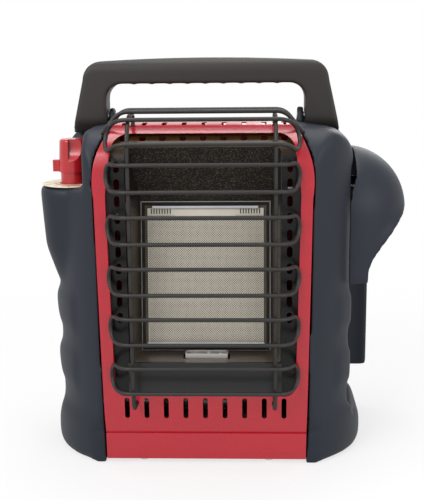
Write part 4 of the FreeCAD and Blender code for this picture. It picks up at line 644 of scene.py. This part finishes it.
def quad(width, height):
    """Upright face about the origin, looking to the front."""
    form = bmesh.new()
    across, up = width / 2, height / 2
    corners = ((-across, 0, -up), (across, 0, -up), (across, 0, up), (-across, 0, up))
    form.faces.new([form.verts.new(corner) for corner in corners])
    return form


def stretch_out(form, travel):
    """Gives a flat form its thickness along a vector."""
    made = bmesh.ops.extrude_face_region(form, geom=form.faces[:])["geom"]
    moved = [item for item in made if isinstance(item, bmesh.types.BMVert)]
    bmesh.ops.translate(form, verts=moved, vec=travel)
    bmesh.ops.recalc_face_normals(form, faces=form.faces[:])


def profile_bar(corners, half):
    """Bar with one outline all along, given by its corners as depth and height."""
    form = bmesh.new()
    form.faces.new([form.verts.new((-half, y, z)) for y, z in corners])
    stretch_out(form, (2 * half, 0, 0))
    return form


def joined(forms):
    """One form of several, each let go."""
    whole = forms[0]
    for form in forms[1:]:
        part = bpy.data.meshes.new("part")
        form.to_mesh(part)
        form.free()
        whole.from_mesh(part)
        bpy.data.meshes.remove(part)
    return whole


def shift(form, travel):
    bmesh.ops.translate(form, verts=form.verts[:], vec=travel)


# Burner, drawn flat about the middle of the plaque's face and then leaned back

def plaque_place():
    low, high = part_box("ceramic_plaque")
    lean = Matrix.Rotation(-PLAQUE_LEAN, 4, "X")
    return Matrix.Translation((low + high) / 2 - lean @ Vector((0, PLAQUE_THICK / 2, 0))) @ lean


def plaque_width():
    low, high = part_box("ceramic_plaque")
    return high.x - low.x


def lean_back(form):
    bmesh.ops.transform(form, matrix=plaque_place(), verts=form.verts[:])
    return form


def frame_rim():
    """Ring of bright sheet with rounded corners."""
    form = quad(plaque_width(), PLAQUE_HEIGHT)
    bmesh.ops.bevel(form, geom=form.verts[:], offset=sizes().frame_corner, offset_type="OFFSET", segments=6,
                    profile=0.5, affect="VERTICES", clamp_overlap=True, material=-1)
    inset = bmesh.ops.inset_region(form, faces=form.faces[:], thickness=sizes().frame_border,
                                   use_even_offset=True)
    ring = set(inset["faces"])
    bmesh.ops.delete(form, geom=[face for face in form.faces if face not in ring], context="FACES")
    stretch_out(form, (0, sizes().frame_sheet, 0))
    ease(form, sizes().sheet_edge)
    shift(form, (0, -sizes().frame_sheet - RIM_SEAT, 0))
    return form


def frame_bar():
    """Bright bar along the top of the frame."""
    top = PLAQUE_HEIGHT / 2
    front = -sizes().bar_depth
    low = top - sizes().bar_height
    form = profile_bar(((-BAR_SEAT, low), (front, low), (front, top), (-BAR_SEAT, top)),
                       plaque_width() / 2 - BAR_SHORT)
    ease(form, BAR_ROUNDING, 4)
    return form


def frame_foot():
    """Folded bar along the foot of the frame."""
    low = -PLAQUE_HEIGHT / 2
    front = -sizes().foot_depth
    sheet = sizes().frame_sheet
    high = low + sizes().foot_height
    form = profile_bar(((-BAR_SEAT, low), (front, low), (front, high), (front + sheet, high),
                        (front + sheet, low + sheet), (-BAR_SEAT, low + sheet)),
                       plaque_width() / 2 - FOOT_SHORT)
    ease(form, FOOT_ROUNDING, 3)
    return form


def slotted_strip():
    """Strip over the screen with a row of slots at each end and a deeper middle."""
    width = plaque_width() - 2 * sizes().frame_border
    form = quad(width, sizes().strip_height)
    level = [edge for edge in form.edges if abs(edge.verts[0].co.z - edge.verts[1].co.z) < WELD_GAP]
    columns = round(width / sizes().slot_pitch)
    bmesh.ops.subdivide_edges(form, edges=level, cuts=columns - 1, use_grid_fill=True)
    cells = sorted(form.faces, key=lambda face: face.calc_center_median().x)
    group = columns // 5
    slots = cells[1:1 + group] + cells[-1 - group:-1]
    for vert in form.verts:
        if vert.co.z < 0 and abs(vert.co.x) < width / 2 - (group + 2) * sizes().slot_pitch:
            vert.co.z -= sizes().strip_step
    bmesh.ops.inset_individual(form, faces=slots, thickness=sizes().slot_pitch * SLOT_MARGIN,
                               use_even_offset=True)
    bmesh.ops.delete(form, geom=slots, context="FACES")
    stretch_out(form, (0, STRIP_SHEET, 0))
    ease(form, STRIP_ROUNDING)
    shift(form, (0, -STRIP_STAND, PLAQUE_HEIGHT / 2 - sizes().frame_border - sizes().strip_height / 2))
    return form


def diamond_screen():
    """Sheet pierced by thousands of small diamonds."""
    cell = sizes().screen_cell
    width = plaque_width() - 2 * sizes().frame_border - SCREEN_SIDE_GAP
    height = PLAQUE_HEIGHT - 2 * sizes().frame_border - sizes().strip_height + SCREEN_TOP_LAP
    count = math.ceil((width + height) / math.sqrt(2) / cell)
    form = bmesh.new()
    bmesh.ops.create_grid(form, x_segments=count, y_segments=count, size=count * cell / 2)
    turn = Matrix.Rotation(math.radians(90), 3, "X") @ Matrix.Rotation(math.radians(45), 3, "Z")
    bmesh.ops.rotate(form, cent=(0, 0, 0), matrix=turn, verts=form.verts[:])
    whole = max(face.calc_area() for face in form.faces)
    for x, z in ((1, 0), (-1, 0), (0, 1), (0, -1)):
        bmesh.ops.bisect_plane(form, geom=form.verts[:] + form.edges[:] + form.faces[:], dist=CUT_GAP,
                               plane_co=(x * width / 2, 0, z * height / 2), plane_no=(x, 0, z),
                               clear_outer=True)
    holes = [face for face in form.faces if face.calc_area() > WHOLE_CELL * whole]
    bmesh.ops.inset_individual(form, faces=holes, thickness=sizes().screen_strand, use_even_offset=True)
    bmesh.ops.delete(form, geom=holes, context="FACES")
    stretch_out(form, (0, sizes().screen_sheet, 0))
    shift(form, (0, -sizes().screen_sheet - SCREEN_SEAT, -sizes().strip_height / 2 + SCREEN_RISE))
    return form


# Stage

def lamp(name, place, power, size):
    data = bpy.data.lights.new(name, "AREA")
    data.shape = "SQUARE"
    data.size = size
    data.energy = power
    made = bpy.data.objects.new(name, data)
    made.location = place
    aim = Vector(bpy.context.scene.heater_stage.camera_target) - Vector(place)
    made.rotation_mode = "QUATERNION"
    made.rotation_quaternion = aim.to_track_quat("-Z", "Y")
    bpy.context.scene.collection.objects.link(made)


def seen_rays(make):
    """1 for what the camera sees, straight or in a reflection."""
    rays = [make.node("ShaderNodeLightPath", output=ray)
            for ray in ("Is Camera Ray", "Is Glossy Ray", "Is Transmission Ray")]
    return (rays[0] + rays[1] + rays[2]).math("MINIMUM", 1.0)


def pale_floor(make):
    """White floor that keeps the heater's shadow and fades into the backdrop."""
    far = make.node("ShaderNodeVectorMath", {"operation": "LENGTH"}, {0: make.place()}, output="Value")
    share = make.span(far, 0.15, 0.8, 0.72, 1.0)
    grain = make.noise(0.002, 2.0)
    paint = make.blend(grain, (0.84, 0.84, 0.84, 1.0), (0.88, 0.88, 0.88, 1.0))
    lit = make.node("ShaderNodeBsdfDiffuse", {}, {"Color": paint})
    white = make.node("ShaderNodeEmission", {}, {"Color": WHITE, "Strength": 1.0})
    both = make.node("ShaderNodeMixShader", {}, {0: seen_rays(make) * share, 1: lit, 2: white})
    make.node("ShaderNodeOutputMaterial", {}, {"Surface": both})


def build_floor():
    form = bmesh.new()
    reach = FLOOR_REACH
    form.faces.new([form.verts.new((x, y, -FLOOR_DROP)) for x, y in
                    ((-reach, -reach), (reach, -reach), (reach, reach), (-reach, reach))])
    mesh = bpy.data.meshes.new("floor")
    form.to_mesh(mesh)
    form.free()
    mesh.materials.append(finish("pale_floor", pale_floor))
    floor = bpy.data.objects.new("floor", mesh)
    bpy.context.scene.collection.objects.link(floor)


def build_world():
    world = bpy.data.worlds.new("studio")
    world.use_nodes = True
    make = Finish(world.node_tree)
    sky = bpy.context.scene.heater_stage.sky
    soft = make.node("ShaderNodeBackground", {}, {"Color": WHITE, "Strength": sky})
    white = make.node("ShaderNodeBackground", {}, {"Color": WHITE, "Strength": 1.0})
    both = make.node("ShaderNodeMixShader", {}, {0: seen_rays(make), 1: soft, 2: white})
    make.node("ShaderNodeOutputWorld", {}, {"Surface": both})
    bpy.context.scene.world = world


def build_camera():
    stage = bpy.context.scene.heater_stage
    data = bpy.data.cameras.new("camera")
    data.lens = stage.lens
    data.sensor_width = SENSOR_WIDTH
    data.clip_end = VIEW_END
    camera = bpy.data.objects.new("camera", data)
    place = Vector(stage.camera_place)
    aim = (Vector(stage.camera_target) - place).to_track_quat("-Z", "Y")
    camera.location = place
    camera.rotation_mode = "QUATERNION"
    camera.rotation_quaternion = aim @ Quaternion((0, 0, 1), stage.camera_roll)
    bpy.context.scene.collection.objects.link(camera)
    bpy.context.scene.camera = camera


# Operators, one for each piece or group of like pieces

class HEATER_OT_covers(bpy.types.Operator):
    """Mould the two side covers"""

    bl_idname = "heater.covers"
    bl_label = "Side Covers"

    def execute(self, context):
        for node in ("left_side_cover", "right_side_cover"):
            moulded(node, sizes().cover_grid, sizes().cover_passes, black_plastic(),
                    sizes().cover_seam, sizes().cover_rounding)
        return {"FINISHED"}


class HEATER_OT_hood(bpy.types.Operator):
    """Mould the hood over the gas cylinder"""

    bl_idname = "heater.hood"
    bl_label = "Cylinder Hood"

    def execute(self, context):
        moulded("cylinder_hood", sizes().hood_grid, sizes().cover_passes,
                black_plastic(), sizes().cover_seam, sizes().cover_rounding // 2)
        return {"FINISHED"}


class HEATER_OT_handle(bpy.types.Operator):
    """Mould the carry handle and polish its pins"""

    bl_idname = "heater.handle"
    bl_label = "Carry Handle"

    def execute(self, context):
        plastic = finish("warm_black_plastic", grained_plastic, "handle", 0.35)
        moulded("carry_handle", sizes().handle_grid, sizes().handle_passes, plastic)
        eased("handle_pins", sizes().turned_edge, bright_steel())
        return {"FINISHED"}


class HEATER_OT_casing(bpy.types.Operator):
    """Enamel the casing's sheets and the pan under them"""

    bl_idname = "heater.casing"
    bl_label = "Casing"

    def execute(self, context):
        red = finish("red_baked_enamel", enamel, "red")
        for node in ("front_bezel", "rear_casing"):
            eased(node, sizes().sheet_edge, red)
        eased("base_pan", sizes().sheet_edge, black_enamel())
        return {"FINISHED"}


class HEATER_OT_guard(bpy.types.Operator):
    """Coat the wires of the guard"""

    bl_idname = "heater.guard"
    bl_label = "Wire Guard"

    def execute(self, context):
        coating = finish("satin_wire_coating", coated_wire, "wire")
        for node in ("guard_loops", "guard_uprights"):
            eased(node, sizes().wire_edge, coating)
        return {"FINISHED"}


class HEATER_OT_fire_box(bpy.types.Operator):
    """Finish the frame in the opening, the reflector and the lip"""

    bl_idname = "heater.fire_box"
    bl_label = "Fire Box"

    def execute(self, context):
        edge = sizes().sheet_edge
        stained = finish("stained_black_enamel", stained_enamel, "black")
        tempered = finish("tempered_reflector", reflector_metal)
        eased("heat_shield_frame", edge, stained)
        eased("lower_lip", edge, black_enamel())
        eased("reflector", edge, tempered)
        return {"FINISHED"}


class HEATER_OT_burner(bpy.types.Operator):
    """Build the burner's frame, its slotted strip and its screen"""

    bl_idname = "heater.burner"
    bl_label = "Burner Face"

    def execute(self, context):
        bright = finish("bright_frame_steel", brushed_metal, "steel", 0.22)
        pale = pale_steel()
        body = body_of("burner_frame")
        form = lean_back(joined([frame_bar(), frame_foot()]))
        shade_by_angle(form)
        even_shading(piece_from(form, "burner_bars", body, bright, ["burner_frame"]))
        form = lean_back(joined([frame_rim(), slotted_strip()]))
        shade_by_angle(form)
        even_shading(piece_from(form, "burner_rim", body, pale))
        piece_from(lean_back(diamond_screen()), "burner_diamond_screen", body, pale,
                   ["burner_screen"])
        keep(finish("pierced_ceramic", pierced_ceramic, "ceramic"), "ceramic_plaque")
        keep(finish("mineral_felt", dull_cloth, "felt"), "plaque_gasket")
        return {"FINISHED"}


class HEATER_OT_pilot(bpy.types.Operator):
    """Finish the pilot's pan, burner, sensor and electrode"""

    bl_idname = "heater.pilot"
    bl_label = "Pilot"

    def execute(self, context):
        edge = sizes().sheet_edge
        glaze = finish("white_glaze", glazed_ceramic, "glaze")
        eased("pilot_bracket", edge, bright_steel())
        eased("pilot_burner", edge, turned_brass())
        eased("thermocouple", edge, pale_steel())
        eased("igniter_electrode", edge, glaze)
        return {"FINISHED"}


class HEATER_OT_knob(bpy.types.Operator):
    """Finish the knob and the printed ring under it"""

    bl_idname = "heater.knob"
    bl_label = "Knob and Dial"

    def execute(self, context):
        red = finish("red_knob_plastic", smooth_plastic, "knob")
        dial = finish("printed_dial", printed_dial)
        eased("control_knob", sizes().knob_edge, red)
        eased("dial_plate", sizes().sheet_edge, dial)
        return {"FINISHED"}


class HEATER_OT_regulator(bpy.types.Operator):
    """Finish the regulator, its swivel and the cylinder's inlet"""

    bl_idname = "heater.regulator"
    bl_label = "Regulator"

    def execute(self, context):
        cast = finish("cast_alloy", rough_metal, "cast", 0.45, 0.0012)
        for node in ("regulator_body", "swivel_mount"):
            eased(node, sizes().turned_edge, cast)
        eased("cylinder_inlet", sizes().turned_edge, turned_brass())
        eased("regulator_cap", sizes().turned_edge, cap_plastic())
        eased("swivel_pin", sizes().sheet_edge, bright_steel())
        return {"FINISHED"}


class HEATER_OT_inner_parts(bpy.types.Operator):
    """Finish the parts inside the casing, which keep their shapes"""

    bl_idname = "heater.inner_parts"
    bl_label = "Inner Parts"

    def execute(self, context):
        aluminium = finish("drawn_aluminium", rough_metal, "aluminium", 0.34, 0.0005)
        rubber = finish("soft_rubber", soft_rubber, "rubber")
        keep(bright_steel(), "rear_heat_shield", "burner_housing", "venturi_tube", "valve_stem",
             "knob_spring", "valve_screws", "tip_pendulum", "tip_switch_pin", "base_screws",
             "cover_screws_left", "cover_screws_right")
        keep(turned_brass(), "orifice_fitting", "valve_body", "valve_rotor", "thermocouple_lead")
        keep(aluminium, "supply_tube", "burner_tube", "pilot_tube")
        keep(cap_plastic(), "piezo_igniter", "tip_switch_housing", "tip_switch_cover")
        keep(rubber, "igniter_lead", "inlet_seal")
        return {"FINISHED"}


class HEATER_OT_stage(bpy.types.Operator):
    """Set up the floor, the soft light and the camera"""

    bl_idname = "heater.stage"
    bl_label = "Stage"

    def execute(self, context):
        stage = context.scene.heater_stage
        build_floor()
        build_world()
        lamp("key_lamp", KEY_PLACE, stage.key_power, LAMP_SIZE)
        lamp("fill_lamp", FILL_PLACE, stage.fill_power, LAMP_SIZE)
        lamp("top_lamp", TOP_PLACE, stage.top_power, TOP_LAMP_SIZE)
        lamp("back_lamp", BACK_PLACE, stage.back_power, LAMP_SIZE)
        build_camera()
        context.scene.view_settings.view_transform = "Standard"
        return {"FINISHED"}


class HEATER_PT_steps(bpy.types.Panel):
    """Lists the heater's steps, sizes and colours"""

    bl_label = "Propane Heater"
    bl_space_type = "VIEW_3D"
    bl_region_type = "UI"
    bl_category = "Heater"

    def draw(self, context):
        scene = context.scene
        column = self.layout.column(align=True)
        for step in STEPS:
            column.operator("heater." + step)
        for group in (scene.heater_sizes, scene.heater_colours, scene.heater_stage):
            box = self.layout.box()
            for key in type(group).__annotations__:
                box.prop(group, key)


GROUPS = {"heater_sizes": HeaterSizes, "heater_colours": HeaterColours, "heater_stage": HeaterStage}
CLASSES = (HeaterSizes, HeaterColours, HeaterStage, HEATER_OT_covers, HEATER_OT_hood, HEATER_OT_handle,
           HEATER_OT_casing, HEATER_OT_guard, HEATER_OT_fire_box, HEATER_OT_burner, HEATER_OT_pilot,
           HEATER_OT_knob, HEATER_OT_regulator, HEATER_OT_inner_parts, HEATER_OT_stage, HEATER_PT_steps)


def register():
    for kind in CLASSES:
        bpy.utils.register_class(kind)
    for name, group in GROUPS.items():
        setattr(bpy.types.Scene, name, PointerProperty(type=group))


def unregister():
    for name in GROUPS:
        delattr(bpy.types.Scene, name)
    for kind in reversed(CLASSES):
        bpy.utils.unregister_class(kind)


def main():
    register()
    for step in STEPS:
        getattr(bpy.ops.heater, step)()


if __name__ == "__main__":
    main()
